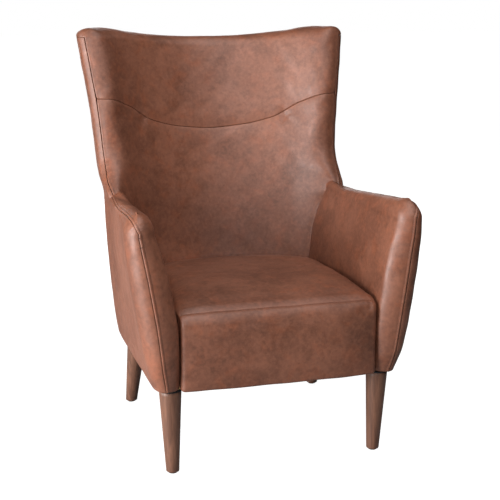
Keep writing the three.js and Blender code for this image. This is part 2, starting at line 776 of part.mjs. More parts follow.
// The back's skin, a ring: the right half's columns, then their mirror images in turn.
function makeBackSkin() {
  const left = backRight.slice(1, -1).map((column) => ({
    ...column,
    point: (z) => column.point(z).multiply(mirrorPlane),
    crest: (z) => column.crest(z).multiply(mirrorPlane),
  })).reverse();
  const columns = [...backRight, ...left];
  const seamRow = backLowerShares.length;
  const rollRow = seamRow + backUpperShares.length + 1;
  const rows = [];
  const seamHeight = (column) => headrestSeam(column.spread);
  const rollHeight = (column) => topEdge(column.spread) - topRoll;
  backLowerShares.forEach((share) => {
    rows.push(columns.map((column) => column.point(mix(bodyBottom, seamHeight(column), share))));
  });
  [-1, 1].forEach((side) => {
    rows.push(columns.map((column) => {
      const point = column.point(seamHeight(column) + (side * seamGap) / 2);
      if (column.isPulled) point.y += seamPull;
      return point;
    }));
  });
  backUpperShares.forEach((share) => {
    rows.push(columns.map((column) => (
      column.point(mix(seamHeight(column), rollHeight(column), share))
    )));
  });
  const [, ...rolls] = spaced(0, Math.PI / 2, topRollSteps);
  [seamGap / topRoll, ...rolls].forEach((roll) => {
    rows.push(columns.map((column) => {
      const base = rollHeight(column);
      const point = mixPoints(column.crest(base), column.point(base), Math.cos(roll));
      point.z = base + topRoll * Math.sin(roll);
      return point;
    }));
  });
  return { skin: new Skin(rows, true), seamRow, rollRow };
}

const { skin: backSkin, seamRow: headrestRow, rollRow } = makeBackSkin();

// Zone of the skin's cell that starts at a column. On the left half the columns run back.
function zoneOf(column) {
  const half = backRight.length - 1;
  return column < half ? backRight[column].zone : backRight[2 * half - column - 1].zone;
}

function isFront(column) {
  return zoneOf(column) === 'inner' || zoneOf(column) === 'nose';
}

function isRightHalf(column) {
  return column < backRight.length - 1;
}

// How thick the back pad is at a half width and a height.
function backFoamAt(x, z) {
  const edge = wingEdge(z);
  const along = THREE.MathUtils.clamp((Math.abs(x) - wingStart) / (edge - wingStart), 0, 1);
  const up = THREE.MathUtils.clamp((z - seatEdge) / (backTopCentre - seatEdge), 0, 1);
  return mix(mix(backFoam, backFoamTop, up), wingFoam, along);
}

// Points of the skin moved to the back pad's rear face.
function padRear() {
  return backSkin.inset(leather + clearance).map((point) => (
    new THREE.Vector3(point.x, point.y + backFoamAt(point.x, point.z), point.z)
  ));
}

function addBack() {
  const surface = backSkin.inset(0);
  const underLeather = backSkin.inset(leather);
  const overPad = backSkin.inset(leather + clearance);
  const rightCutters = [armCutter(clearance), armPanelCutter(clearance)];
  const cutters = [...rightCutters, ...rightCutters.map(mirrored)];
  const wingCutters = [armCutter(panelGap), armPanelCutter(panelGap)];
  const isInsideBack = (column, row) => isFront(column) && row >= insideBackRow && row < headrestRow;
  const isHeadrest = (column, row) => (isFront(column) && row > headrestRow) || row > rollRow;
  const isOutsideBack = (column, row) => zoneOf(column) === 'rear' && row < rollRow;
  const isRightWing = (column, row) => zoneOf(column) === 'wing' && isRightHalf(column)
    && row >= wingPanelRow && row < rollRow;
  const isPad = (column, row) => zoneOf(column) === 'inner' && row > insideBackRow && row < rollRow;
  const makeCover = (keep, cuts) => cutAway(backSkin.layer(surface, underLeather, keep), ...cuts);
  addPiece('inside_back_cover', makeCover(isInsideBack, cutters), 'leather');
  addPiece('headrest_cover', backSkin.layer(surface, underLeather, isHeadrest), 'leather');
  addPiece('outside_back_cover', makeCover(isOutsideBack, cutters), 'leather');
  addPair('wing_outside_panel', makeCover(isRightWing, wingCutters), 'leather');
  addPiece('back_foam', cutAway(backSkin.layer(overPad, padRear(), isPad), ...cutters), 'foam');
  const underBoard = backSkin.inset(leather + clearance + wingBoardThick);
  const boardColumn = backRight.length - backOuterShares.length + 1;
  const isBoard = (column, row) => isRightWing(column, row) && column >= boardColumn
    && backSkin.rows[row][column].z > armCrestFront;
  const wingBoard = backSkin.layer(overPad, underBoard, isBoard);
  addPair('wing_board', cutAway(wingBoard, backPost(clearance)), 'timber');
}

// Seat

// Outline of the seat top: half width at a depth, and the depth of its rear edge.
function seatHalfAt(y, z) {
  return armInner(y, z) - seatSideGap;
}

function seatRear(x, z) {
  return backFace(x, z) - seatSideGap;
}

const seatProfile = smoothLine(seatProfilePlaceShares, seatProfileShares);
const seatSteps = [12, 10, 1];
const borderSteps = [10, 4, 1];

// Depth of the front border: it swells forward between its edges.
function borderFront(side, rise) {
  const [low, high] = seatSwellShares;
  const swell = (1 - side ** seatSwellPower) * Math.sin(Math.PI * mix(low, high, rise));
  return seatFront - seatBorderCrown * swell;
}

// Point of the seat pad for shares across, along from the front to the rear, and up from its
// underside, moved in by a depth: a crown along the seat, whose sides roll down.
function seatPoint(across, along, up, depth) {
  const side = Math.sin((Math.PI / 2) * (2 * across - 1));
  const crown = seatEdge + (seatCrown - seatEdge) * seatProfile(along);
  const drop = THREE.MathUtils.smoothstep(along, 0, seatCornerShare);
  const sideZ = mix(seatFrontSeam, seatEdge - seatSideDrop, drop);
  const round = Math.max(0, 1 - Math.abs(side) ** seatEdgePower) ** (1 / seatEdgePower);
  const z = mix(seatDeck, mix(sideZ, crown, round) - depth, up);
  const front = borderFront(side, 1) + depth;
  const x = side * (seatHalfAt(mix(front, seatRear(0, z), along), z) - depth);
  return new THREE.Vector3(x, mix(front, seatRear(x, z) - depth, along), z);
}

// A layer of the front border between two depths; its rear is flat where it meets the rail.
function borderLayer(outer, inner, top, isFlat) {
  return bentBlock((a, b, c) => {
    const side = 2 * a - 1;
    const isRear = c === 0;
    const y = isRear && isFlat ? seatFront + inner : borderFront(side, b) + (isRear ? inner : outer);
    return new THREE.Vector3(side * (seatHalf - clearance - outer), y, mix(bodyBottom + outer, top, b));
  }, borderSteps);
}

function addSeat() {
  const padDepth = leather + clearance;
  const cover = bentBlock((a, b, c) => seatPoint(a, b ** seatStepPower, 1, leather * (1 - c)), seatSteps);
  const pad = bentBlock((a, b, c) => seatPoint(a, b ** seatStepPower, c, padDepth), seatSteps);
  const beforeRail = board(
    new THREE.Vector3(-seatHalf, seatFront - seatBorderCrown - overrun, seatDeck - overrun),
    new THREE.Vector3(seatHalf, frontRailFront, seatCrown + overrun),
  );
  addPiece('seat_cover', cover, 'leather');
  addPiece('seat_foam', cutAway(pad, beforeRail), 'foam');
  const coverTop = seatFrontSeam - leather - clearance;
  const foamTop = coverTop - borderFoam / 2;
  addPiece('seat_front_border', borderLayer(0, leather, coverTop, false), 'leather');
  addPiece('seat_border_foam', borderLayer(padDepth, padDepth + borderFoam, foamTop, true), 'foam');
}

// Timber frame

// Steps across, back and up of the frame's bent members.
const boardSteps = [1, 1, 1];
const armPostSteps = [1, 1, 5];
const armRailSteps = [1, 6, 1];
const crossRailSteps = [12, 1, 1];

// A straight board between two corners.
function board(low, high) {
  const size = new THREE.Vector3().subVectors(high, low);
  const centre = new THREE.Vector3().addVectors(low, high).multiplyScalar(1 / 2);
  const geometry = new THREE.BoxGeometry(size.x, size.y, size.z);
  geometry.translate(centre.x, centre.y, centre.z);
  return geometry;
}

function postFront(z) {
  return mix(postFrontBottom, postFrontTop, (z - railBottom) / (postTop - railBottom));
}

// Depth of the frame behind the back pad: against the pad in the middle, and level with the
// back posts' front faces at the sides.
function frameFront(x, z) {
  const padRear = (place) => backFace(place, z) + backFoamAt(place, z) + leather + padSlack;
  const along = Math.min(1, Math.abs(x) / postHalf);
  const lag = postFront(z) - padRear(postHalf);
  return along < 1 ? padRear(x) + lag * along ** frameLagPower : postFront(z);
}

function addRails() {
  const front = frontRailFront;
  const sideFront = front + railThick + clearance;
  const half = sideRailHalf + railThick;
  const at = (x, y, z) => new THREE.Vector3(x, y, z);
  const rear = postFrontBottom - clearance;
  const sideRear = rear - railThick - clearance;
  const addBoard = (add, name, low, high) => add(name, board(low, high), 'timber');
  addBoard(addPiece, 'front_rail', at(-half, front, railBottom), at(half, front + railThick, railTop));
  addBoard(addPiece, 'back_rail', at(-half, rear - railThick, railBottom), at(half, rear, railTop));
  addBoard(addPair, 'side_rail', at(sideRailHalf, sideFront, railBottom), at(half, sideRear, railTop));
  addPair('corner_block_front', cornerBlock(sideFront, 1), 'timber');
  addPair('corner_block_rear', cornerBlock(sideRear, -1), 'timber');
}

// Triangular block in a corner of the seat frame; facing is 1 towards the rear.
function cornerBlock(edge, facing) {
  const inner = sideRailHalf - clearance;
  const start = edge + facing * clearance;
  const outline = new THREE.Shape([
    new THREE.Vector2(inner, start),
    new THREE.Vector2(inner - blockReach, start),
    new THREE.Vector2(inner, start + facing * blockReach),
  ]);
  const geometry = new THREE.ExtrudeGeometry(outline, { depth: blockHeight, bevelEnabled: false });
  geometry.translate(0, 0, railBottom + blockRise);
  return mergedGeometry(geometry);
}

// Geometry with shared vertices, as the mirror and the booleans need it.
function mergedGeometry(geometry) {
  geometry.deleteAttribute('normal');
  geometry.deleteAttribute('uv');
  return mergeVertices(geometry);
}

// An arm's front post: a board whose outline follows the arm inside its padding.
function armPost() {
  const front = frontRailFront;
  const top = armCrestFront - armRailDrop;
  const inset = leather + armFoam + armFrameSlack;
  return bentBlock((a, b, c) => {
    const z = mix(railTop + clearance, top, c);
    const inside = armInner(front, z) + inset;
    const outside = outerHalf(front + armPostThick, z) - leather - armPostInset;
    return new THREE.Vector3(mix(inside, outside, a), mix(front, front + armPostThick, b), z);
  }, armPostSteps);
}

// An arm's top rail, from its front post back past the back post's side.
function armRail() {
  const low = armCrestFront - armRailDrop + clearance;
  const inset = leather + armFoam + armFrameSlack;
  const rear = postFront(low) + armRailPast;
  return bentBlock((a, b, c) => {
    const z = mix(low, low + armRailHeight, c);
    const y = mix(frontRailFront, rear, b);
    const inside = armInner(Math.min(y, backDepthAtSeat), Math.min(z, armShoulder)) + inset;
    const outside = Math.min(outerHalf(y, z) - leather - armFrameSlack, inside + armRailWidth);
    return new THREE.Vector3(mix(inside, outside, a), y, z);
  }, armRailSteps);
}

// A back post, grown on all sides by a clearance where it cuts its neighbours.
function backPost(grow) {
  return bentBlock((a, b, c) => {
    const z = mix(railBottom, postTop + grow, c);
    const x = mix(postHalf - grow, postHalf + postWidth + grow, a);
    return new THREE.Vector3(x, mix(postFront(z) - grow, postFront(z) + postDepth + grow, b), z);
  }, boardSteps);
}

function addFrame() {
  addRails();
  addPair('back_post', backPost(0), 'timber');
  addPair('arm_post', armPost(), 'timber');
  addPair('arm_rail', armRail(), 'timber');
  const lumbar = crossRail(lumbarRailBottom, lumbarRailHeight, railThick, () => postHalf - clearance);
  addPiece('lumbar_rail', lumbar, 'timber');
  const inset = leather + clearance + wingBoardThick + boardSlack;
  const topHalf = (z) => outerHalf(postFrontTop + topRailDepth, z) - inset;
  const top = crossRail(postTop + clearance, topRailHeight, topRailDepth, topHalf);
  addPiece('top_rail', top, 'timber');
  const overRail = backSkin.inset(leather + clearance);
  const underRail = backSkin.inset(leather + clearance + tackRailThick);
  addPiece('rear_tack_rail', backSkin.layer(overRail, underRail, (column, row) => (
    zoneOf(column) === 'rear' && row === 0
  )), 'timber');
}

// A rail across the back that follows the back pad; half gives its half length at a height.
function crossRail(bottom, height, depth, half) {
  return bentBlock((a, b, c) => {
    const z = mix(bottom, bottom + height, c);
    const x = (2 * a - 1) * half(z);
    return new THREE.Vector3(x, frameFront(x, z) + b * depth, z);
  }, crossRailSteps);
}

// Springs, webbing and dust cloth

function sinuousSpring(x) {
  const front = frontRailFront + railThick / 2;
  const rear = postFrontBottom - clearance - railThick / 2;
  const centre = railTop + clearance + springWire / 2;
  const points = spaced(0, 1, springWaves * springWaveSteps).map((share) => new THREE.Vector3(
    x + springSwing * Math.sin(2 * Math.PI * springWaves * share),
    mix(front, rear, share),
    centre + springArch * Math.sin(Math.PI * share),
  ));
  const wire = new THREE.Shape(spaced(0, 2 * Math.PI, springSides).slice(1).map((turn) => (
    new THREE.Vector2(Math.cos(turn), Math.sin(turn)).multiplyScalar(springWire / 2)
  )));
  const geometry = new THREE.ExtrudeGeometry(wire, {
    steps: points.length - 1,
    bevelEnabled: false,
    extrudePath: new THREE.CatmullRomCurve3(points),
  });
  return mergedGeometry(geometry);
}

function addSprings() {
  spaced(-1, 1, springCount - 1).forEach((share, i) => {
    const x = (share * springSpacing * (springCount - 1)) / 2;
    addPiece(`seat_spring_${i + 1}`, sinuousSpring(x), 'steel');
  });
  webbingHeightShares.forEach((share, i) => {
    const bottom = share * backTopCentre - webbingWidth / 2;
    const strap = crossRail(bottom, webbingWidth, webbingThick, () => postHalf - clearance);
    addPiece(`back_webbing_${i + 1}`, strap, 'webbing');
  });
}

// Legs

const legs = [
  { name: 'front', bottom: frontLegBottom, top: frontLegTop },
  { name: 'rear', bottom: rearLegBottom, top: rearLegTop },
];

// A round piece about the leg's leaning axis: outline holds radius and height pairs, and each
// level of the piece is moved over to the axis there.
function onLegAxis({ bottom, top }, outline) {
  const profile = outline.map(([radius, height]) => new THREE.Vector2(radius, height));
  const geometry = new THREE.LatheGeometry(profile, legSides);
  geometry.rotateX(Math.PI / 2);
  const lean = new THREE.Matrix4().makeShear(0, 0, 0, 0, 0, 0);
  lean.elements[8] = (top.half - bottom.half) / legTop;
  lean.elements[9] = (top.depth - bottom.depth) / legTop;
  geometry.applyMatrix4(lean);
  geometry.translate(bottom.half, bottom.depth, 0);
  return mergedGeometry(geometry);
}

function legRadius(z) {
  return mix(legBottomRadius, legTopRadius, z / legTop);
}

function turnedLeg(leg) {
  const foot = glideThick + clearance;
  const bore = boltRadius + clearance;
  const boreEnd = legTop - boltInLeg - clearance;
  return onLegAxis(leg, [
    [0, foot],
    [legRadius(foot) - legEdge, foot],
    [legRadius(foot + legEdge), foot + legEdge],
    [legRadius(legTop - legEdge), legTop - legEdge],
    [legTopRadius - legEdge, legTop],
    [bore, legTop],
    [bore, boreEnd],
    [0, boreEnd],
  ]);
}

function boltHole(leg) {
  const radius = boltRadius + clearance;
  const top = railBottom + boltInRail + clearance;
  return onLegAxis(leg, [[0, legTop], [radius, legTop], [radius, top], [0, top]]);
}

function addLegs() {
  for (const leg of legs) {
    const plateBottom = plateTop - plateThick;
    const bore = boltRadius + clearance;
    addPair(`${leg.name}_leg`, turnedLeg(leg), 'legWood');
    addPair(`${leg.name}_leg_plate`, onLegAxis(leg, [
      [bore, plateBottom], [plateRadius, plateBottom], [plateRadius, plateTop], [bore, plateTop],
      [bore, plateBottom],
    ]), 'blackSteel');
    const boltTop = railBottom + boltInRail;
    const boltBottom = legTop - boltInLeg;
    addPair(`${leg.name}_leg_bolt`, onLegAxis(leg, [
      [0, boltBottom], [boltRadius, boltBottom], [boltRadius, boltTop], [0, boltTop],
    ]), 'steel');
    addPair(`${leg.name}_glide`, onLegAxis(leg, [
      [0, 0], [glideRadius - legEdge, 0], [glideRadius, legEdge], [glideRadius, glideThick],
      [0, glideThick],
    ]), 'glide');
  }
}

// The cloth under the body follows its outline, a little way in.
function addDustCloth(holes) {
  const start = tipDepth(bodyBottom) + wingNoseDepth;
  const rear = outerBack(bodyBottom);
  const places = [frontRailFront, ...dustClothShares.map((share) => mix(start, rear, share))];
  const rightEdge = places.map((y) => new THREE.Vector2(outerHalf(y, bodyBottom), y));
  const inset = new THREE.Vector2(dustClothInset, 0);
  rightEdge.forEach((point) => point.sub(inset));
  const leftEdge = rightEdge.map((point) => new THREE.Vector2(-point.x, point.y)).reverse();
  const cloth = new THREE.ExtrudeGeometry(new THREE.Shape([...rightEdge, ...leftEdge]), {
    depth: dustClothThick,
    bevelEnabled: false,
  });
  cloth.translate(0, 0, dustClothTop - dustClothThick);
  addPiece('dust_cloth', cutAway(mergedGeometry(cloth), ...holes), 'dustCloth');
}

addArms();
addBack();
addSeat();
addFrame();
addSprings();
addLegs();
const rightHoles = legs.map(boltHole);
const boltHoles = [...rightHoles, ...rightHoles.map(mirrored)];
addDustCloth(boltHoles);
for (const name of ['front_rail', 'back_rail', 'side_rail_left', 'side_rail_right']) {
  const rail = chair.getObjectByName(name);
  rail.geometry = cutAway(rail.geometry, ...boltHoles);
}

// The origin lies at the bottom centre of the bounding box.
const bounds = new THREE.Box3().setFromObject(chair);
const middle = bounds.getCenter(new THREE.Vector3());
chair.position.set(-middle.x, -middle.y, -bounds.min.z);

export default chair;
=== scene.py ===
# Fireside chair with shallow wings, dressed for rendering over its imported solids.
# Metres, +Z up, the chair faces -Y, and -X is the left side as one looks at its front.
# Depths count from the line through the front feet; to_frame moves them to the frame's origin.

import json
import math
from functools import partial

import bmesh
import bpy
import numpy as np
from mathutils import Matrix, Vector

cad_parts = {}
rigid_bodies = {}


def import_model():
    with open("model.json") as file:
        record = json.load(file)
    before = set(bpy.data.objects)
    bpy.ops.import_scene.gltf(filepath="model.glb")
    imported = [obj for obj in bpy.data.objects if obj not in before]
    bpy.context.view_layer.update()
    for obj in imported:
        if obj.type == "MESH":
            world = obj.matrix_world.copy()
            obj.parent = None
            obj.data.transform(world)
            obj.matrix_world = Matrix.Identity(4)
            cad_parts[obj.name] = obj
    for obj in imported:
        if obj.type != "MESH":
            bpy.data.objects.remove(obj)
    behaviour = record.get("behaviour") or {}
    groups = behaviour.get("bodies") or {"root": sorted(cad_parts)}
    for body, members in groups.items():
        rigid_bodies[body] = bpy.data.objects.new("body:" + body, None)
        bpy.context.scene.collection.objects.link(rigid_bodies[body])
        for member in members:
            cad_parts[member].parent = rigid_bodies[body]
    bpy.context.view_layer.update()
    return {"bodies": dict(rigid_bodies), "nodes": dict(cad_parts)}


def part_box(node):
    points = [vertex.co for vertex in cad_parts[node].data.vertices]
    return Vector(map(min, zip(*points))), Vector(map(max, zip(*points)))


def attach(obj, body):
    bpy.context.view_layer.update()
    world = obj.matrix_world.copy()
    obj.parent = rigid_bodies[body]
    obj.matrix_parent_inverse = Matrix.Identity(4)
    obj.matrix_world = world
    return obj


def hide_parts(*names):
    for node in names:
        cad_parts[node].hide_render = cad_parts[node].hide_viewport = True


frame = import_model()

tiny = 1e-12  # keeps divisions by lengths safe

# Leather and seams
leather_thick = 0.0018
seam_gap = 0.0009  # between two panels at a sewn seam
seam_roll = 0.0020  # radius at which a panel's edge turns down into its seam
welt_width = 0.0072  # seam allowance under a top-stitched seam
welt_rise = 0.0011
uneven_height = 0.0004
bar_tack_length = 0.0110
bar_tack_thick = 0.0020
bar_tack_rise = 0.0020  # out of the seam they bridge
merge_reach = 2e-5  # points closer than this become one

# Across a top-stitched seam, as distances from it
welt_start = (0.0006, 0.0022)
welt_end = (0.0055, 0.0085)
furrow_depth = 0.0007
furrow_width = 0.0011

# Gathers beside a seam: height, spacing and reach, and where they begin and are full
arm_gathers = (0.0003, 0.017, 0.010)
tuck_gathers = (0.0004, 0.034, 0.012)
headrest_gathers = (0.0002, 0.024, 0.012)
seat_gathers = (0.0003, 0.021, 0.012)
arm_gathers_below = (0.11, 0.03)  # below the shoulder
tuck_gathers_below = (0.03, -0.01)
plain_middle = 0.1  # half width without gathers on the headrest and the seat
gather_ratio = 0.62  # spacing of their second wave, as a share of the first's
gather_second = 0.7  # and its height
gather_patch = 4.7  # how many waves long a patch of them is
gather_fade = 0.45  # how much they fade between patches
gather_turns = (0.8, 2.1, 1.3)  # where the two waves and the patches begin

# Padding drawn in along a seam: depth and reach
headrest_pull = (0.003, 0.013)
back_tuck_pull = (0.003, 0.010)
arm_tuck_pull = (0.003, 0.009)
kink_dimple = (0.0038, 0.013, 5)  # and at the headrest seam's kinks, with the folds round them
dimple_fold = 0.12  # height of those folds, as a share of the depth
dimple_turn = 0.6

# The unevenness of padding: wave lengths along the axes
broad_waves = (0.13, 0.21, 0.11, 0.17)
fine_waves = (0.071, 0.083, 0.067)
fine_wave_share = 0.6
fine_wave_turn = 1.9

# Cloth
cloth_frames = 20
cloth_pressure = 4.0
cloth_bending = 2.0
cloth_step = 3  # every so many points of a panel's grid become one of the cloth's
cloth_sink = 0.004  # how far inside its panel the cloth starts
cloth_cap = 0.005  # and how far it may swell from there
cloth_slack = 0.006  # share by which it is cut larger than its panel
cloth_edge = 0.045  # reach over which a panel's sewn edges hold it back
cloth_rounds = 24  # times each point moves halfway to the mean of its neighbours afterwards
arm_swell = 0.3  # share of its swelling that the arms' drawn leather takes

# Stitches
stitch_pitch = 0.0042
stitch_thick = 0.0007
stitch_half = 0.37  # half a stitch's length, as a share of the pitch
stitch_places = [-1, -0.9, -0.4, 0.4, 0.9, 1]  # its rings, along that half
stitch_bow = 0.4  # rise of its middle, as a share of its thickness
stitch_sink = 0.1
stitch_sides = 6
stitch_end_power = 4  # the higher, the blunter its ends

# Body heights
body_bottom = 0.217
seat_edge = 0.396
seat_front_seam = 0.404
seat_crown = 0.436
arm_shoulder = 0.594
arm_crest_front = 0.645
arm_crest_low = 0.612
back_top_centre = 1.009
back_top_peak = 1.038
top_roll = 0.024

# Arms, as half widths from the chair's middle plane
seat_half = 0.244
arm_inner_flare = 0.052
arm_inner_taper = 0.014
arm_outer_base = 0.302
arm_outer_flare = 0.068
arm_flare_power = 1.5
arm_front = -0.042
arm_front_crown = 0.023
arm_inner_corner = 0.028
arm_outer_corner = 0.046
arm_front_round = 0.050
arm_top_radius = 0.032
tuck_depth = 0.014
bar_tack_heights = [0.576, 0.593]  # two short stitches across the left arm's seam
arm_height_shares = [0, 0.15, 0.28, 0.43, 0.5, 0.72, 0.8, 0.92, 1]
arm_inner_shares = [0, 0.01, 0.02, 0.09, 0.17, 0.42, 0.56, 0.82, 1]
arm_outer_shares = [0, 0.27, 0.42, 0.56, 0.62, 0.83, 0.89, 0.97, 1]
arm_front_shares = [0, 0.74, 0.92, 1, 0.98, 0.78, 0.68, 0.52, 0.35]
arm_seam_share = 0.6  # place of the front's seam between the inner and the outer corner
arm_crest_share = 0.42
arm_crest_place_shares = [0, 0.1, 0.277, 0.53, 0.653, 0.708, 0.77, 0.83, 0.87, 0.92, 1]
arm_crest_rise_shares = [0.95, 0.82, 0.545, 0.15, 0, 0.1, 0.22, 0.3, 0.3, 0.26, 0.2]
arm_place_shares = [0, 0.08, 0.2, 0.34, 0.52, 0.76, 1]
arm_seam_turn_shares = [0.5, 0.5, 0.6, 0.45, 0.28, 0.4, 0.52, 0.5, 0.38, 0.1]
arm_rear_turns = [0, 0.1, 0.23, 0.36]  # of an outer face's first columns round the rear corner
arm_rear_columns = 3  # an arm's columns: round its rear corner up to here,
arm_face_columns = 6  # its face up to here,
arm_columns = 9  # and its front corner up to the seam, here
arm_drawn_columns = 0.5  # beside the seam, over which its gap opens
arm_inside_share = 0.26  # height at which the inner face starts, above the rails

# Back and wings
back_depth_at_seat = 0.545
back_recline = 0.2438
back_curve = 0.715
wing_start = 0.206
wing_bend = 1.7
wing_foot_bend = 1.6  # how much sharper that bend is where the wings rise from the arms
wing_foot_height = 0.640
wing_foot_reach = 0.045
wing_foot_soft = 0.026  # height over which the wings' front edge is evened out for the inside
outer_back_bottom = 0.588
outer_back_top = 0.743
outer_squareness = 4
wing_nose_foot = 0.040  # width of a wing's rounded front edge at its foot, inside the arm
wing_nose_width = 0.063  # and above the arms
wing_nose_rise = 0.080  # height over which it grows
wing_nose_set = 0.008  # its inner end behind the front edge's line, at the foot
wing_nose_proud = 0.008  # and in front of that line above the arms
wing_nose_depth = 0.024
wing_nose_bulge = 0.015
wing_seam_share = 0.62
headrest_seam_centre = 0.755
headrest_seam_wing = 0.853
headrest_kink_half = 0.206  # half width at which the headrest's seam is pulled in most
headrest_kink_height = 0.788
wing_soft_columns = 8  # columns either side over which a wing's edge rounds into the back
wing_soft_rounds = 40
top_soft_rows = 7  # the same between the front and the rolled top
top_soft_rounds = 40
top_soft_columns = 12  # columns beside a wing's seam over which that fades out
headrest_place_shares = [-0.31, 0, 0.31, 0.51, 0.635, 0.75, 0.82, 0.89, 1]
headrest_rise_shares = [0.08, 0, 0.08, 0.21, 0.34, 0.56, 0.71, 0.82, 1]
wing_tip_height = 1.041
wing_tip_half = 0.378
body_half = 0.308
wing_tip_depth = 0.580
wing_foot_depth = 0.380
side_height_shares = [0, 0.045, 0.19, 0.335, 0.445, 0.494, 0.518, 0.597, 0.748, 0.834, 0.965, 1]
side_half_shares = [0, 0.076, 0.195, 0.277, 0.304, 0.369, 0.423, 0.48, 0.63, 0.76, 0.96, 1]
tip_height_shares = [0, 0.244, 0.421, 0.466, 0.482, 0.494, 0.518, 0.555, 0.597, 0.748, 0.834,
                     0.965, 1]
tip_depth_shares = [0, 0.2, 0.27, 0.15, 0.2, 0.28, 0.45, 0.594, 0.68, 0.76, 0.83, 0.96, 1]
top_edge_place_shares = [0, 0.05, 0.15, 0.3, 0.6, 0.83, 1]
top_edge_rise_shares = [0.03, 0.05, 0.12, 0.27, 0.64, 1, 1]
back_inner_shares = [0, 0.2, 0.4, 0.6, 0.745, 0.75, 0.84, 0.93, 1]
back_outer_shares = [1, 0.83, 0.66, 0.5, 0.365, 0.36, 0.23, 0.1, 0]
corner_seam_share = 0.3625  # rear corner seam, as a share of the outer sheet's quarter turn
corner_seam_gap = 0.001  # in the same shares, to either side
corner_seam_spread = 0.75  # the inner sheet's share that faces it
inside_back_share = 0.25  # height at which the inside back's leather starts
wing_panel_share = 0.58  # and the wing's outside panel
wing_seam_foot = 0.2  # above the body's bottom, where a wing's stitched seam begins

# Seat
seat_front = -0.048
seat_border_crown = 0.012
seat_swell_power = 4
seat_swell_shares = [0.2, 0.8]
seat_side_gap = 0.0025
seat_edge_power = 5
seat_side_drop = 0.028
seat_corner_share = 0.1
seat_corner_fall = 0.011  # how far the seat's front seam droops at its ends
seat_corner_draw = 0.004  # how far the border's sides draw in by there
seat_corner_height = 0.024
border_side_roll = 0.010  # radius at which the border turns back beside the arms
border_top_roll = 0.024  # and at its top, up to its seam with the seat
border_side_gap = 0.0005  # border to arm
hem_radius = 0.006  # radius of the covers' bottom edge, where the leather turns under
hem_reach = 0.016
seat_profile_place_shares = [0, 0.04, 0.12, 0.35, 0.65, 1]
seat_profile_shares = [0.2, 0.55, 0.82, 1, 0.9, 0]
seat_skirt = 0.05  # how far the seat's leather runs down at its sides and rear
border_cheek = 0.03  # how far the border's runs back at its sides

# Dust cloth
dust_cloth_inset = 0.012  # in from the body's sides
dust_cloth_thick = 0.0008
dust_cloth_sag = 0.004

# Legs
leg_top_radius = 0.027
leg_bottom_radius = 0.016
leg_edge = 0.003
leg_chamfer = 0.002  # at the top, in from its side
leg_chamfer_height = 0.001

# Steps of the grids
hem_steps = 6
arm_column_steps = (14, 46, 30)
arm_height_steps = 52
arm_under_steps = 14  # of its rolled top, below its seam and over it
arm_over_steps = 22
seam_corner_steps = 3
back_middle_share = 0.6  # of the inner sheet's columns, that are wider apart
back_column_steps = (36, 40)
nose_front_steps = 16
nose_side_steps = 10
wing_column_steps = 16
rear_column_steps = 40
lower_back_steps = 90
headrest_steps = 60
rear_steps = 90
wing_steps = 70
roll_steps = 14
seam_line_steps = 200
seat_across_steps = 96
seat_along_steps = 84
border_steps = 60
skirt_steps = 8
cheek_steps = 6
dust_cloth_steps = 60
leg_edge_steps = 6
leg_shaft_steps = 24
leg_sides = 64

# Powers by which steps crowd towards a seam
arm_corner_crowding = 1.6
arm_top_crowding = 1.8
back_crowding = 1.6
nose_crowding = 1.5
seat_crowding = 1.5
border_crowding = 2.2

# Leather. Colours are 0 to 255 screen values. A layer of its mottling has its noise (scale,
# detail, roughness, distortion), the range of that noise over which it comes in, its strength
# and its colour.
leather_base = ((100, 59, 42), (124, 78, 59))
leather_patches = ((5.0, 3.0, 0.5, 0.4), (0.34, 0.68))
leather_layers = {
    "rust": ((24.0, 8.0, 0.7, 0.5), (0.48, 0.64), 0.32, (138, 74, 46)),
    "clouds": ((10.0, 7.0, 0.66, 0.5), (0.47, 0.66), 0.55, (80, 45, 30)),
    "flecks": ((62.0, 6.0, 0.7, 0.3), (0.47, 0.66), 0.4, (82, 47, 32)),
    "specks": ((110.0, 4.0, 0.6, 0.0), (0.35, 0.75), 0.22, (164, 106, 80)),
}
leather_worn = (0.16, (146, 98, 78))  # strength and colour along the seams
worn_reach = 0.012
leather_roughness = (0.53, 0.43)  # where it is plain, and where patches and rust meet
gloss_range = (0.2, 1.6)  # of the sum of patches and rust
pore_scale = 1000.0
pore_depth = 0.14
pore_bump = (0.22, 0.001)  # strength and height
crease_noise = (60.0, 4.0, 0.55, 0.4)
crease_bump = (0.06, 0.002)

# Wood of the legs, in the same order
wood_base = ((96, 63, 47), (120, 82, 63))
wood_bands = ((60.0, 3.0, 0.5, 1.5), (0.35, 0.7))
wood_grain = ((420.0, 4.0, 0.6, 0.0), (0.35, 0.65), 0.4, (74, 46, 34))
wood_stretch = (1.0, 1.0, 0.05)  # of its noises, which run up the leg
wood_roughness = (0.42, 0.55)
wood_bump = (0.12, 0.0006)

# The smaller finishes
plain_noise = (4.0, 0.6, 0.3)  # detail, roughness, distortion
plain_range = (0.3, 0.7)
plain_rougher = 0.1  # where the second tone is full
plain_bump_height = 0.001

# Stage
floor_half = 30.0
floor_glow = (0.7, 2.2, 0.93, 1.0)  # from one distance to another, from one strength to another
floor_grey = 0.3
floor_roughness = 0.9
world_glow = 0.02  # of the white surroundings, as light
lamps = [  # name, place, aim, size, power
    ("key", (-3.0, -1.0, 0.95), (0, 0, 0.65), (2.2, 1.8), 218),
    ("front", (-0.4, -2.5, 2.6), (0, 0, 0.65), (1.6, 1.6), 50),
    ("top", (0.2, -0.6, 3.0), (0, 0, 0.5), (1.6, 1.6), 32),
    ("back", (0.5, 3.2, 1.0), (0, 0, 0.6), (2.0, 2.0), 42),
]

# Camera, found by fitting the body's outlines to the photograph
camera_place = (-0.7606, -2.7658, 1.1215)
camera_pitch = 90 - 12.98989
camera_turn = -15.98380
camera_lens = 79.2
camera_sensor = 36.0


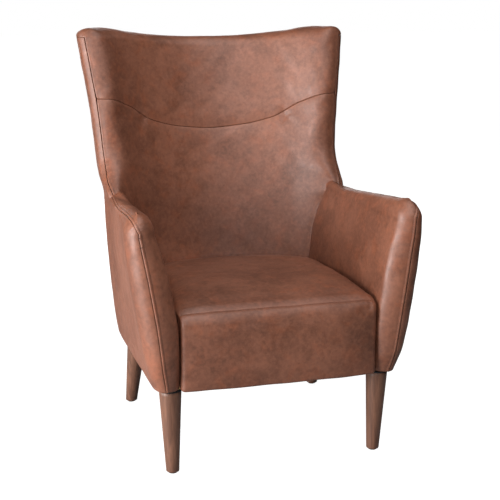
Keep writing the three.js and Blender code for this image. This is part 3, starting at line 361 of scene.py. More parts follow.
def middle(node):
    """Centre of a CAD node's box."""
    low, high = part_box(node)
    return (np.array(low) + np.array(high)) / 2


front_line = middle("front_glide_left")[1]


def to_frame(points):
    """Points whose depths count from the front feet, moved to the frame's origin."""
    return np.asarray(points) + np.array([0, front_line, 0])


def mix(start, end, share):
    """The value that lies a share of the way from a start to an end."""
    return start + (end - start) * share


def smooth_line(places, values):
    """Line through chosen places without overshoot: a cubic between each two places, whose
    slope at a place is the harmonic mean of its neighbours' slopes."""
    places = np.asarray(places, float)
    values = np.asarray(values, float)
    steps = np.diff(places)
    slopes = np.diff(values) / steps
    before, after = slopes[:-1], slopes[1:]
    same_way = before * after > 0
    total = np.where(same_way, before + after, 1)
    between = np.where(same_way, 2 * before * after / total, 0)
    tangents = np.concatenate([slopes[:1], between, slopes[-1:]])

    def line(place):
        """Value at a place, or the end's value past an end."""
        inside = np.clip(place, places[0], places[-1])
        i = np.clip(np.searchsorted(places, inside, side="right") - 1, 0, len(steps) - 1)
        t = (inside - places[i]) / steps[i]
        rise = values[i + 1] - values[i]
        start = tangents[i] * steps[i]
        end = tangents[i + 1] * steps[i]
        return (values[i] + start * t + (3 * rise - 2 * start - end) * t**2
                + (start + end - 2 * rise) * t**3)

    return line


def smooth_step(value, low, high):
    """From 0 at the low value to 1 at the high one: the cubic 3t^2 - 2t^3."""
    share = np.clip((value - low) / (high - low), 0, 1)
    return share * share * (3 - 2 * share)


def even(start, end, count):
    """Places an even step apart, both ends included."""
    return np.linspace(start, end, count + 1)


def crowded(start, end, count, power=2.0):
    """Steps that grow closer towards the end: start + (end - start) (1 - (1 - i/n)^power)."""
    return mix(start, end, 1 - (1 - np.linspace(0, 1, count + 1)) ** power)


def crowded_both(start, end, count):
    """Steps that grow closer towards both ends, as on a half turn seen from its side."""
    return mix(start, end, (1 - np.cos(np.linspace(0, math.pi, count + 1))) / 2)


# Shape of the body

arm_inner_line = smooth_line(arm_height_shares, arm_inner_shares)
arm_outer_line = smooth_line(arm_height_shares, arm_outer_shares)
arm_front_line = smooth_line(arm_height_shares, arm_front_shares)
arm_crest_line = smooth_line(arm_crest_place_shares, arm_crest_rise_shares)
arm_place_line = smooth_line(even(0, arm_face_columns, arm_face_columns), arm_place_shares)
arm_seam_turn_line = smooth_line(even(0, arm_columns, arm_columns), arm_seam_turn_shares)
side_line = smooth_line(side_height_shares, side_half_shares)
tip_line = smooth_line(tip_height_shares, tip_depth_shares)
seat_profile = smooth_line(seat_profile_place_shares, seat_profile_shares)
headrest_seam = smooth_line(
    headrest_place_shares,
    mix(headrest_seam_centre, headrest_seam_wing, np.array(headrest_rise_shares)),
)
top_edge = smooth_line(
    top_edge_place_shares,
    mix(back_top_centre, back_top_peak, np.array(top_edge_rise_shares)),
)


def arm_share(z):
    """Height as a share of the arms' straight part."""
    return (z - body_bottom) / (arm_shoulder - body_bottom)


def body_share(z):
    """Height as a share of the body up to the wings' tips."""
    return (z - body_bottom) / (wing_tip_height - body_bottom)


def side_half(z):
    """Outside half width of the body beside the wings and behind the arms."""
    return mix(body_half, wing_tip_half, side_line(body_share(z)))


def tip_depth(z):
    """Depth of the wings' front edge."""
    return mix(wing_foot_depth, wing_tip_depth, tip_line(body_share(z)))


def wing_nose(z):
    """Width of a wing's rounded front edge, and how far its inner end lies behind its line."""
    grown = smooth_step(z, arm_shoulder, arm_shoulder + wing_nose_rise)
    return (mix(wing_nose_foot, wing_nose_width, grown),
            mix(wing_nose_set, -wing_nose_proud, grown))


def wing_edge(z):
    """Half width at which the inside back's sheet ends at a wing's rounded edge."""
    return side_half(z) - wing_nose(z)[0]


def outer_back(z):
    """Depth of the outside back in its middle: a straight slope."""
    rise = (z - body_bottom) / (back_top_centre - body_bottom)
    return mix(outer_back_bottom, outer_back_top, rise)


def back_face(x, z):
    """Depth of the inside back and wings: a hollow of constant bend, from which the wings
    flare out again by a power of the way to their edge."""
    slope = back_depth_at_seat + back_recline * (z - seat_edge)
    edge = wing_edge(z)
    around = z + wing_foot_soft * np.array([-1, 0, 0, 1]).reshape((4,) + (1,) * np.ndim(z))
    tip = tip_depth(around).mean(axis=0) + wing_nose(z)[1]
    lift = tip - (slope - edge * edge / back_curve)
    along = np.maximum(0, (np.abs(x) - wing_start) / (edge - wing_start))
    bend = wing_bend + wing_foot_bend * np.exp(-((z - wing_foot_height) / wing_foot_reach) ** 2)
    return slope - x * x / back_curve + lift * along**bend


def outer_half(y, z):
    """Outside half width at a depth: sides that flare towards the front by a power, and round
    into the back along a squared-off ellipse."""
    start = tip_depth(z) + wing_nose_depth
    front = arm_outer_base + arm_outer_flare * arm_outer_line(np.minimum(1, arm_share(z)))
    before = np.maximum(0, (start - y) / (start - arm_front))
    flared = side_half(z) + (front - side_half(z)) * before**arm_flare_power
    behind = np.clip((y - start) / (outer_back(z) - start), 0, 1)
    rounded = side_half(z) * (1 - behind**outer_squareness) ** (1 / outer_squareness)
    return np.where(y <= start, flared, rounded)


def corner_reach(share):
    """How far a rear corner has reached back at a share of its quarter turn."""
    return np.maximum(0, np.sin(math.pi / 2 * share)) ** (2 / outer_squareness)


def arm_inner(y, z):
    """Inner half width of an arm at a depth."""
    along = np.clip(y / back_depth_at_seat, 0, 1)
    return seat_half + arm_inner_flare * arm_inner_line(arm_share(z)) - arm_inner_taper * along


def arm_crest(y):
    """Height of an arm's crest at a depth."""
    return mix(arm_crest_low, arm_crest_front, arm_crest_line(y / back_depth_at_seat))


# Meshes

root = next(iter(frame["bodies"]))


def stack(x, y, z):
    """Points from their coordinates, spread over one another's shapes."""
    return np.stack(np.broadcast_arrays(x, y, z), axis=-1)


def grid_faces(rows, columns, first=0, closed=False):
    """Four-cornered faces over a grid of points whose numbers run along its rows."""
    ids = first + np.arange(rows * columns).reshape(rows, columns)
    if closed:
        ids = np.concatenate([ids, ids[:, :1]], axis=1)
    return np.stack([ids[:-1, :-1], ids[:-1, 1:], ids[1:, 1:], ids[1:, :-1]], -1).reshape(-1, 4)


def unit(vectors):
    """Vectors of the same directions and the length 1."""
    return vectors / np.maximum(np.linalg.norm(vectors, axis=-1, keepdims=True), tiny)


def grid_normals(points):
    """Outward normals of a grid: the cross product of its steps along rows and columns."""
    return unit(np.cross(np.gradient(points, axis=1), np.gradient(points, axis=0)))


def lengths_along(points, axis=0):
    """How far each point lies from the first one along an axis, from point to point."""
    steps = np.linalg.norm(np.diff(points, axis=axis), axis=-1)
    return np.cumsum(np.insert(steps, 0, 0, axis=axis), axis=axis)


def crossing(rows, values, level):
    """In each row of points, the place at which the values at its points reach a level."""
    past = np.maximum(1, (values >= level).argmax(axis=1))
    row = np.arange(len(rows))
    before, after = values[row, past - 1], values[row, past]
    share = np.clip((level - before) / (after - before), 0, 1)[:, None]
    return mix(rows[row, past - 1], rows[row, past], share)


def with_hem(grid):
    """A grid whose lowest row has its bottom edge turned under: a quarter circle down and
    inward, then a flat flap."""
    inward = unit(-grid_normals(grid)[0] * [1, 1, 0])
    turn = even(math.pi / 2, 0, hem_steps)[:-1, None, None]
    down = np.array([0, 0, -1.0])
    rolled = grid[0] + hem_radius * ((1 - np.cos(turn)) * inward + np.sin(turn) * down)
    return np.concatenate([rolled[:1] + hem_reach * inward, rolled, grid])


def make_mesh(name, points, faces):
    """A piece from points and four-cornered faces."""
    mesh = bpy.data.meshes.new(name)
    mesh.from_pydata(points.tolist(), [], faces.tolist())
    piece = bpy.data.objects.new(name, mesh)
    bpy.context.scene.collection.objects.link(piece)
    return piece


def merge_points(piece):
    """Merges the points of a piece that coincide."""
    work = bmesh.new()
    work.from_mesh(piece.data)
    bmesh.ops.remove_doubles(work, verts=work.verts, dist=merge_reach)
    bmesh.ops.dissolve_degenerate(work, edges=work.edges, dist=merge_reach)
    work.to_mesh(piece.data)
    work.free()


def get_points(piece, kind="co"):
    """A piece's points, or with the kind "normal" its normals there."""
    flat = np.empty(len(piece.data.vertices) * 3)
    piece.data.vertices.foreach_get(kind, flat)
    return flat.reshape(-1, 3)


def nearest_on(points, line):
    """Distance of each point to a line, and how far along the line its nearest place lies."""
    start, step = line[:-1], np.diff(line, axis=0)
    squares = np.maximum((step**2).sum(-1), tiny**2)
    lengths = np.sqrt(squares)
    before = np.cumsum(lengths) - lengths
    distance, place = np.empty(len(points)), np.empty(len(points))
    block_size = 1500
    for first in range(0, len(points), block_size):
        block = points[first:first + block_size, None, :] - start
        share = np.clip((block * step).sum(-1) / squares, 0, 1)
        away = ((block - share[..., None] * step) ** 2).sum(-1)
        best = away.argmin(axis=1)
        row = np.arange(len(best))
        distance[first:first + block_size] = np.sqrt(away[row, best])
        place[first:first + block_size] = before[best] + share[row, best] * lengths[best]
    return distance, place


def dress(piece, material):
    """Smooth shading and a material for a piece."""
    mesh = piece.data
    mesh.polygons.foreach_set("use_smooth", np.ones(len(mesh.polygons), bool))
    mesh.materials.append(material)


def finish_panel(piece, material, thickness=leather_thick):
    """Shading, material, thickness inward, body and slot of a leather panel."""
    dress(piece, material)
    if thickness:
        wall = piece.modifiers.new("thickness", "SOLIDIFY")
        wall.thickness = thickness
        wall.offset = -1
        wall.use_even_offset = False
    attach(piece, root)
    return piece


def seam_depth(distance):
    """How far a panel's edge has turned down at a distance from its seam: a quarter circle."""
    near = np.clip(1 - distance / seam_roll, 0, 1)
    return seam_roll * (1 - np.sqrt(1 - near**2))


def welt_height(distance):
    """Rise of the folded seam allowance under a top-stitched edge, with the stitch line's
    furrow along its far side."""
    plateau = smooth_step(distance, *welt_start) * (1 - smooth_step(distance, *welt_end))
    furrow = np.exp(-((distance - welt_width) / furrow_width) ** 2)
    return welt_rise * plateau - furrow_depth * furrow


def gathers(distance, place, height, spacing, reach):
    """Small folds that run out from a seam: two waves along it, of one spacing and of a share
    of it, that come and go along it, are nought on the seam and highest at the reach."""
    turn = 2 * math.pi * place / spacing
    first, second, patch = gather_turns
    wave = np.sin(turn + first) + gather_second * np.sin(turn / gather_ratio + second)
    patchy = 1 - gather_fade + gather_fade * np.sin(turn / gather_patch + patch)
    return height * wave * patchy * distance / reach * np.exp(1 - distance / reach)


def dimple(points, centre, depth, reach, folds):
    """A point where padding is drawn in: a bell-shaped hollow, with folds round it whose height
    is a cosine of the direction and fades with the distance."""
    away = points - centre
    distance = np.linalg.norm(away, axis=-1)
    direction = np.arctan2(away[:, 2], away[:, 0])
    near = distance / reach
    fold = dimple_fold * np.cos(folds * direction + dimple_turn)
    return depth * (fold * near * np.exp(1 - near) - np.exp(-near**2))


def unevenness(points):
    """The slight unevenness of padding under leather: products of long sine waves."""
    x, y, z = (points * 2 * math.pi).T
    a, b, c, d = broad_waves
    broad = np.sin(x / a + z / b) * np.sin(z / c - y / d)
    a, b, c = fine_waves
    fine = np.sin(x / a - y / b) * np.sin(z / c + fine_wave_turn)
    return uneven_height * (broad + fine_wave_share * fine)


def sew_edges(piece, seams=(), welts=(), pulls=(), folds=(), dimples=()):
    """Turns a panel's edges down into its plain seams, raises its welted ones, draws the
    padding in along its pulled ones, folds it beside others, and keeps the distance to the
    nearest seam as an attribute. A fold's gate says how strong it is at each point."""
    points = get_points(piece)
    normals = get_points(piece, "normal")
    nearest = np.full(len(points), 1.0)
    shift = unevenness(points)
    for line in seams:
        distance, place = nearest_on(points, line)
        shift -= seam_depth(distance)
        nearest = np.minimum(nearest, distance)
    for line in welts:
        distance, place = nearest_on(points, line)
        shift += welt_height(distance) - seam_depth(distance)
        nearest = np.minimum(nearest, distance)
    for line, depth, reach in pulls:
        distance, place = nearest_on(points, line)
        shift -= depth * np.exp(-distance / reach)
    for line, height, spacing, reach, gate in folds:
        distance, place = nearest_on(points, line)
        shift += gate(points) * gathers(distance, place, height, spacing, reach)
    for centre, depth, reach, count in dimples:
        shift += dimple(points, centre, depth, reach, count)
    piece.data.vertices.foreach_set("co", (points + normals * shift[:, None]).ravel())
    piece.data.update()
    kept = piece.data.attributes.new("seam_distance", "FLOAT", "POINT")
    kept.data.foreach_set("value", nearest)


# Cloth

def carry(places, count):
    """Weights that carry values at chosen places to every place, in straight lines."""
    lines = [np.interp(np.arange(count), places, unit) for unit in np.eye(len(places))]
    return np.stack(lines, axis=1)


def edge_distance(grid):
    """How far each point lies from its grid's nearest edge, along its row or column."""
    nearest = np.full(grid.shape[:2], 1.0)
    for axis in (0, 1):
        along = lengths_along(grid, axis)
        end = along.max(axis=axis, keepdims=True)
        nearest = np.minimum(nearest, np.minimum(along, end - along))
    return nearest


def even_out(grid, axis, rounds, weight=1.0):
    """Moves each point halfway to the mean of its neighbours along an axis, as far as its
    weight says, many times over. The ends stay."""
    line = np.moveaxis(grid.copy(), axis, 0)
    share = np.moveaxis(np.broadcast_to(weight, grid.shape), axis, 0)[1:-1] / 2
    for turn in range(rounds):
        line[1:-1] += share * ((line[:-2] + line[2:]) / 2 - line[1:-1])
    return np.moveaxis(line, 0, axis)


def pad_out(grid, amount=1.0):
    """Swells a panel's grid as cloth under its padding's pressure. A coarser copy that starts
    a little inside the panel is held along its edges and simulated; what it has moved by is
    capped, carried to the grid between its points, smoothed, and added in an amount that is
    less where the leather is drawn tight."""
    rows, columns = (np.unique(np.append(np.arange(0, count, cloth_step), count - 1))
                     for count in grid.shape[:2])
    target = grid[np.ix_(rows, columns)]
    free = smooth_step(edge_distance(grid), 0, cloth_edge)[..., None]
    inner = np.zeros(target.shape[:2], bool)
    inner[1:-1, 1:-1] = True
    start = target - cloth_sink * free[np.ix_(rows, columns)] * grid_normals(target)
    sheet = make_mesh("cloth", start.reshape(-1, 3), grid_faces(*target.shape[:2]))
    edge = sheet.vertex_groups.new(name="edge")
    edge.add(np.nonzero(~inner.ravel())[0].tolist(), 1.0, "REPLACE")
    cloth = sheet.modifiers.new("cloth", "CLOTH")
    cloth.settings.vertex_group_mass = edge.name
    cloth.settings.use_pressure = True
    cloth.settings.uniform_pressure_force = cloth_pressure
    cloth.settings.effector_weights.gravity = 0
    cloth.settings.shrink_min = -cloth_slack
    cloth.settings.bending_stiffness = cloth_bending
    cloth.point_cache.frame_end = cloth_frames
    for moment in range(1, cloth_frames + 1):
        bpy.context.scene.frame_set(moment)
    swollen = sheet.evaluated_get(bpy.context.evaluated_depsgraph_get())
    moved = get_points(swollen).reshape(start.shape) - start
    bpy.context.scene.frame_set(1)
    bpy.data.objects.remove(sheet)
    length = np.maximum(np.linalg.norm(moved, axis=-1, keepdims=True), tiny)
    moved = moved * cloth_cap * np.tanh(length / cloth_cap) / length + start - target
    full = np.einsum("ri,ijk,cj->rck", carry(rows, grid.shape[0]), moved,
                     carry(columns, grid.shape[1]))
    for turn in range(cloth_rounds):
        for axis in (0, 1):
            full = even_out(full, axis, 1)
    return grid + amount * full * free


# Stitches

def row_beside(rows, away):
    """The line that lies a distance from where rows of points begin, measured along them, and
    the normals there. Each point of a row holds its place and its normal."""
    line = crossing(rows, lengths_along(rows[..., :3], 1), away)
    return line[:, :3], line[:, 3:]


def stitch_row(name, line, normals, material, pitch=stitch_pitch, thick=stitch_thick):
    """A row of stitches: short rounded rods along a line, each of rings of points whose radius
    closes at both ends, bowed a little out of the leather."""
    place = lengths_along(line)
    count = max(1, int(place[-1] / pitch))
    centres = (np.arange(count) + 0.5) * place[-1] / count
    along = np.array(stitch_places)
    spots = centres[:, None] + stitch_half * pitch * along
    at, up = (np.stack([np.interp(spots, place, part[:, i]) for i in range(3)], -1)
              for part in (line, normals))
    up = unit(up)
    side = np.cross(unit(at[:, -1:] - at[:, :1]), up)
    height = thick * (stitch_bow * (1 - along**2) - stitch_sink)
    radius = thick / 2 * np.sqrt(1 - along**stitch_end_power)
    turn = even(0, 2 * math.pi, stitch_sides)[:-1, None]
    ring = np.cos(turn) * side[:, :, None] + np.sin(turn) * up[:, :, None]
    points = (at + height[:, None] * up)[:, :, None] + radius[:, None, None] * ring
    rings = len(along)
    firsts = stitch_sides * rings * np.arange(count)
    faces = np.concatenate([grid_faces(rings, stitch_sides, first, closed=True)
                            for first in firsts])
    piece = make_mesh(name, points.reshape(-1, 3), faces[:, ::-1])
    merge_points(piece)
    finish_panel(piece, material, thickness=0)


# Arms

def arm_inner_end(z):
    """Depth at which an arm's inner face ends behind the back's surface."""
    reach = arm_inner(back_depth_at_seat, np.minimum(z, arm_shoulder))
    return back_face(reach, z) + tuck_depth


def arm_place(column, is_outer, z, roll):
    """Half width and depth of an arm's column: the face from its rear end up to its front
    corner, then a quarter ellipse to the seam. roll is how far the top has rolled over, and up
    to the seam's own roll the last columns leave half of its gap."""
    rolled = arm_front_round * (1 - np.cos(roll))
    front = arm_front - arm_front_crown * arm_front_line(arm_share(z)) + rolled
    corner = arm_outer_corner if is_outer else arm_inner_corner
    face_at = outer_half if is_outer else arm_inner
    face_end = front + corner
    face_column = np.minimum(column, arm_face_columns)
    if is_outer:
        start = tip_depth(z) + wing_nose_depth
        at_corner = np.interp(arm_rear_columns - face_column, range(len(arm_rear_turns)),
                              arm_rear_turns)
        rear = mix(start, outer_back(z), corner_reach(at_corner))
        along = (face_column - arm_rear_columns) / (arm_face_columns - arm_rear_columns)
        y_face = np.where(along < 0, rear, mix(start, face_end, along))
    else:
        y_face = mix(arm_inner_end(z), face_end, arm_place_line(face_column))
    past_face = (column - arm_face_columns) / (arm_columns - arm_face_columns)
    turn = math.pi / 2 * np.clip(past_face, 0, 1)
    seam = mix(arm_inner(front, z), outer_half(front + arm_outer_corner, z), arm_seam_share)
    drawn = smooth_step(column, arm_columns - arm_drawn_columns, arm_columns)
    drawn = np.where(roll <= arm_seam_roll(arm_columns), drawn, 0)
    gap = seam_gap / 2 * drawn * (1 if is_outer else -1)
    x_turn = mix(face_at(face_end, z), seam, 1 - np.cos(turn)) + gap
    y_turn = front + corner * (1 - np.sin(turn))
    on_face = column < arm_face_columns
    return np.where(on_face, face_at(y_face, z), x_turn), np.where(on_face, y_face, y_turn)


def arm_top(column, is_outer, roll):
    """The rolled top of an arm: each column shrinks towards the crest by the roll's cosine and
    rises by its sine."""
    x, y = arm_place(column, is_outer, arm_shoulder, roll)
    x_in, y_in = arm_place(column, False, arm_shoulder, roll)
    x_out, y_out = arm_place(column, True, arm_shoulder, roll)
    crest_x = mix(x_in, x_out, arm_crest_share)
    crest_y = mix(y_in, y_out, arm_crest_share)
    z = mix(arm_shoulder, arm_crest(crest_y), np.sin(roll))
    return stack(mix(crest_x, x, np.cos(roll)), mix(crest_y, y, np.cos(roll)), z)


def arm_seam_roll(column):
    """How far an arm's top has rolled over where its seam crosses a column."""
    return math.pi / 2 * arm_seam_turn_line(column)


arm_column_list = np.concatenate([
    even(0, arm_rear_columns, arm_column_steps[0])[:-1],
    even(arm_rear_columns, arm_face_columns, arm_column_steps[1])[:-1],
    crowded(arm_face_columns, arm_columns, arm_column_steps[2], arm_corner_crowding),
])
arm_height_list = even(hem_radius / (arm_shoulder - body_bottom), 1, arm_height_steps)
arm_under_seam = crowded(0, 1, arm_under_steps, arm_top_crowding)[1:]
arm_over_seam = 1 - crowded(0, 1, arm_over_steps, arm_top_crowding)[::-1]


def arm_grid(is_outer, part):
    """Points of one face of the right arm: part is "lower" for the rows up to the shoulder,
    "under" for the roll up to the seam, and "over" for the roll from the seam to the crest."""
    column = arm_column_list[None, :]
    if part == "lower":
        z = mix(body_bottom, arm_shoulder, arm_height_list)[:, None]
        x, y = arm_place(column, is_outer, z, 0)
        return stack(x, y, z)
    half_gap = seam_gap / (2 * arm_top_radius)
    seam = arm_seam_roll(column)
    if part == "under":
        return arm_top(column, is_outer, (seam - half_gap) * arm_under_seam[:, None])
    return arm_top(column, is_outer, mix(seam + half_gap, math.pi / 2, arm_over_seam[:, None]))


def arm_band_grid():
    """The band: inner face and front up to the seam, and the top across to the seam."""
    inner = [arm_grid(False, part) for part in ("lower", "under", "over")]
    return np.concatenate(inner + [arm_grid(True, "over")[-2::-1]])


def with_normals(grid, outward=1):
    """A grid's points, each with its normal, which outward = -1 turns round."""
    return np.concatenate([grid, outward * grid_normals(grid)], axis=-1)


def mirrored(points):
    """The same points on the chair's other side."""
    return points * np.array([-1, 1, 1])


def on_both_sides(line):
    """A line of the right half in the frame, and its mirror image."""
    return [to_frame(line), to_frame(mirrored(line))]


sides = (("right", np.asarray, False), ("left", mirrored, True))


def join_grids(name, grids, flip=False):
    """One piece from several grids of points, merged where their edges coincide. flip turns
    its faces round, for a mirrored panel."""
    firsts = np.cumsum([0] + [grid.shape[0] * grid.shape[1] for grid in grids])
    points = np.concatenate([grid.reshape(-1, 3) for grid in grids])
    faces = np.concatenate([grid_faces(*grid.shape[:2], first)
                            for grid, first in zip(grids, firsts)])
    piece = make_mesh(name, to_frame(points), faces[:, ::-1] if flip else faces)
    merge_points(piece)
    return piece


def make_panel(name, grids, material, flip=False, **sewing):
    """A leather panel from its grids, sewn as sew_edges is told."""
    panel = join_grids(name, grids, flip)
    sew_edges(panel, **sewing)
    return finish_panel(panel, material)


def arm_seam_path():
    """The stitched seam of the right arm: up the middle of the front, then back over the
    outer side of the rolled top."""
    z = mix(body_bottom, arm_shoulder, arm_height_list)
    column = np.full_like(z, arm_columns)
    x, y = arm_place(column, True, z, 0)
    upright = stack(x - seam_gap / 2, y, z)
    corner_turns = arm_seam_roll(arm_columns) * even(0, 1, seam_corner_steps)[1:]
    corner = arm_top(arm_columns, True, corner_turns)
    columns = arm_column_list[::-1]
    back = arm_top(columns, True, arm_seam_roll(columns))
    return np.concatenate([upright, corner, back[1:]])


def back_front(x, z):
    """Depth of the back's surface at a half width: the inside back, then the wing's rounded
    edge as half an ellipse."""
    edge = wing_edge(z)
    across = np.clip((np.abs(x) - edge) / (side_half(z) - edge), 0, 1)
    start = back_face(np.minimum(np.abs(x), edge), z)
    nose = mix(start, tip_depth(z) + wing_nose_depth, across)
    return nose - wing_nose_bulge * np.sqrt(1 - (1 - 2 * across) ** 2)


def tuck_path(grid):
    """Where an arm's band meets the back: in each row of its grid, the place at which its
    depth passes the back's surface."""
    ahead = back_front(grid[..., 0], grid[..., 2]) - grid[..., 1]
    return crossing(grid, ahead, 0)


def is_at_top(points):
    """How far up an arm's front a point lies: from 0 below its bend to 1 at the rolled top."""
    start, full = arm_gathers_below
    return smooth_step(points[:, 2], arm_shoulder - start, arm_shoulder - full)


def build_arms(material, thread):
    """Each arm's band and outside panel, and the stitches along the seam between them."""
    grid = arm_band_grid()
    path = arm_seam_path()
    tuck = tuck_path(grid)
    low_rows = len(arm_height_list) + len(arm_under_seam)
    front_rows = with_normals(grid[:low_rows])[:, ::-1]
    top_rows = with_normals(arm_grid(True, "over"), -1).transpose(1, 0, 2)[::-1]
    sewn = [np.concatenate(part) for part in zip(row_beside(front_rows, welt_width),
                                                 row_beside(top_rows, welt_width))]
    band_grid = pad_out(grid, arm_swell)
    lower = with_hem(arm_grid(True, "lower")[:, ::-1])
    outer = np.concatenate([lower, arm_grid(True, "under")[:, ::-1]])
    start = int(np.searchsorted(arm_height_list, arm_inside_share))
    face = int(np.searchsorted(arm_column_list, arm_face_columns))
    for side, place, flip in sides:
        seam = to_frame(place(path))
        wrinkles = [(seam, *arm_gathers, is_at_top)]
        grids = [place(band_grid[start:, :face + 1]), place(with_hem(band_grid[:, face:]))]
        band = make_panel(f"arm_{side}_band", grids, material, flip, welts=[seam],
                          pulls=[(to_frame(place(tuck)), *arm_tuck_pull)], folds=wrinkles)
        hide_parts(f"arm_cover_{side}", f"arm_foam_{side}")
        outside = make_panel(f"arm_{side}_outside", [place(outer)], material, flip,
                             seams=[seam], folds=wrinkles)
        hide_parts(f"arm_outside_panel_{side}")
        line, normals = (place(part) for part in sewn)
        stitch_row(f"arm_{side}_stitches", to_frame(line), normals, thread)
        if side == "left":
            build_bar_tacks(seam, thread)


def build_bar_tacks(seam, material):
    """Two short stitches across the left arm's seam, where its front bends over."""
    for number, height in enumerate(bar_tack_heights):
        i = int(np.abs(seam[:len(arm_height_list), 2] - height).argmin())
        ahead = seam[i + 1] - seam[i - 1]
        forward = np.array([0, -1.0, 0])
        across = unit(np.cross(forward, ahead))
        reach = bar_tack_length / 2 * np.array([-1, 1])[:, None]
        line = seam[i] + reach * across + bar_tack_rise * forward
        stitch_row(f"arm_left_bar_tack_{number + 1}", line, np.stack([forward, forward]),
                   material, bar_tack_length, bar_tack_thick)


# Back and wings

back_list = np.concatenate([
    even(0, back_middle_share, back_column_steps[0])[:-1],
    even(back_middle_share, 1, back_column_steps[1]),
])
nose_gap = seam_gap / (2 * wing_nose_bulge) / math.pi
nose_front_list = crowded(0, wing_seam_share - nose_gap, nose_front_steps, nose_crowding)
nose_side_list = 1 - crowded(0, 1 - wing_seam_share - nose_gap, nose_side_steps,
                             nose_crowding)
wing_list = crowded(0, corner_seam_share - corner_seam_gap, wing_column_steps,
                    nose_crowding)
rear_list = crowded_both(corner_seam_share + corner_seam_gap, 1, rear_column_steps)
roll_list = even(0, math.pi / 2, roll_steps)[:, None, None]


def outer_share(spread):
    """The outer sheet's share that faces a share of the inner sheet."""
    return np.interp(spread, back_inner_shares, back_outer_shares)


def inner_share(turn):
    """And the other way round."""
    return np.interp(turn, back_outer_shares[::-1], back_inner_shares[::-1])


def inner_point(share, z):
    """The inner sheet, for a share from the middle to the wing's edge."""
    x = share * wing_edge(z)
    return stack(x, back_face(x, z), z)


def outer_point(share, z):
    """The outer sheet, for a share of the quarter turn from the wing's edge to the middle."""
    start = tip_depth(z) + wing_nose_depth
    x = side_half(z) * corner_reach(1 - share)
    return stack(x, mix(start, outer_back(z), corner_reach(share)), z)


def nose_point(share, z):
    """The rounded front edge of a wing: half an ellipse from the inner to the outer sheet."""
    share, z = np.broadcast_arrays(share, z)
    turn = math.pi * share[..., None]
    start = inner_point(1, z)
    half = (outer_point(0, z) - start) / 2
    outward = unit(stack(half[..., 1], -half[..., 0], 0))
    return start + half * (1 - np.cos(turn)) + wing_nose_bulge * np.sin(turn) * outward


def soften(grid, fade=1.0):
    """Rounds a wing's edge into the back, near the column where they join."""
    away = np.arange(grid.shape[1]) - (len(back_list) - 1)
    weight = np.atleast_2d(np.exp(-(away / wing_soft_columns) ** 2) * fade)
    return even_out(grid, 1, wing_soft_rounds, weight[..., None])


def soften_top(below, rolled):
    """Rounds the front into the rolled top, near the row where they join, less so towards the
    wing's seam and the crest."""
    grid = np.concatenate([below, rolled[1:]])
    away = np.arange(len(grid)) - (len(below) - 1)
    beside_seam = smooth_step(np.arange(grid.shape[1], 0, -1), 1, top_soft_columns)
    weight = np.exp(-(away / top_soft_rows) ** 2)[:, None] * beside_seam
    grid = even_out(grid, 0, top_soft_rounds, weight[..., None])
    return grid[:len(below)], grid[len(below) - 1:]


def half_front(rise, low, high):
    """Grid of the right half's front, up to the wing's seam. Its rows lie at shares of the way
    between two lines of heights, given for the inner sheet's columns."""
    z = mix(low, high, rise[:, None])
    nose = nose_point(nose_front_list[1:], z[:, -1:])
    return soften(np.concatenate([inner_point(back_list, z), nose], axis=1))


def roll_base(spread):
    """Height at which the top begins to roll."""
    return top_edge(spread) - top_roll


def crest_point(spread, z):
    """Where the rolled top closes: midway between the inner and the outer sheet."""
    return (inner_point(spread, z) + outer_point(outer_share(spread), z)) / 2


def rolled_top(point, spread):
    """Columns of the rolled top: each shrinks towards the middle of the body by the roll's
    cosine and rises by its sine, and leans on as the face below it does."""
    base = roll_base(spread)
    below = base - top_roll
    start, crest = point(base), crest_point(spread, base)
    lean = (start - point(below)) / top_roll
    crest_lean = (crest - crest_point(spread, below)) / top_roll
    cosine, sine = np.cos(roll_list), np.sin(roll_list)
    grid = (crest + (start - crest) * cosine
            + top_roll * sine * mix(crest_lean, lean, cosine**2))
    grid[..., 2] = base + top_roll * sine[..., 0]
    return grid


def whole(half):
    """The left half's mirror image, then the right half, in one row of columns."""
    return np.concatenate([mirrored(half[:, :0:-1]), half], axis=1)


def above_shoulder(points):
    """From 0 below the arms' shoulder to 1 above it."""
    start, full = tuck_gathers_below
    return smooth_step(points[:, 2], arm_shoulder - start, arm_shoulder - full)


def beside_middle(points):
    """From 0 in the chair's middle to 1 at the headrest seam's kinks."""
    return smooth_step(np.abs(points[:, 0]), plain_middle, headrest_kink_half)


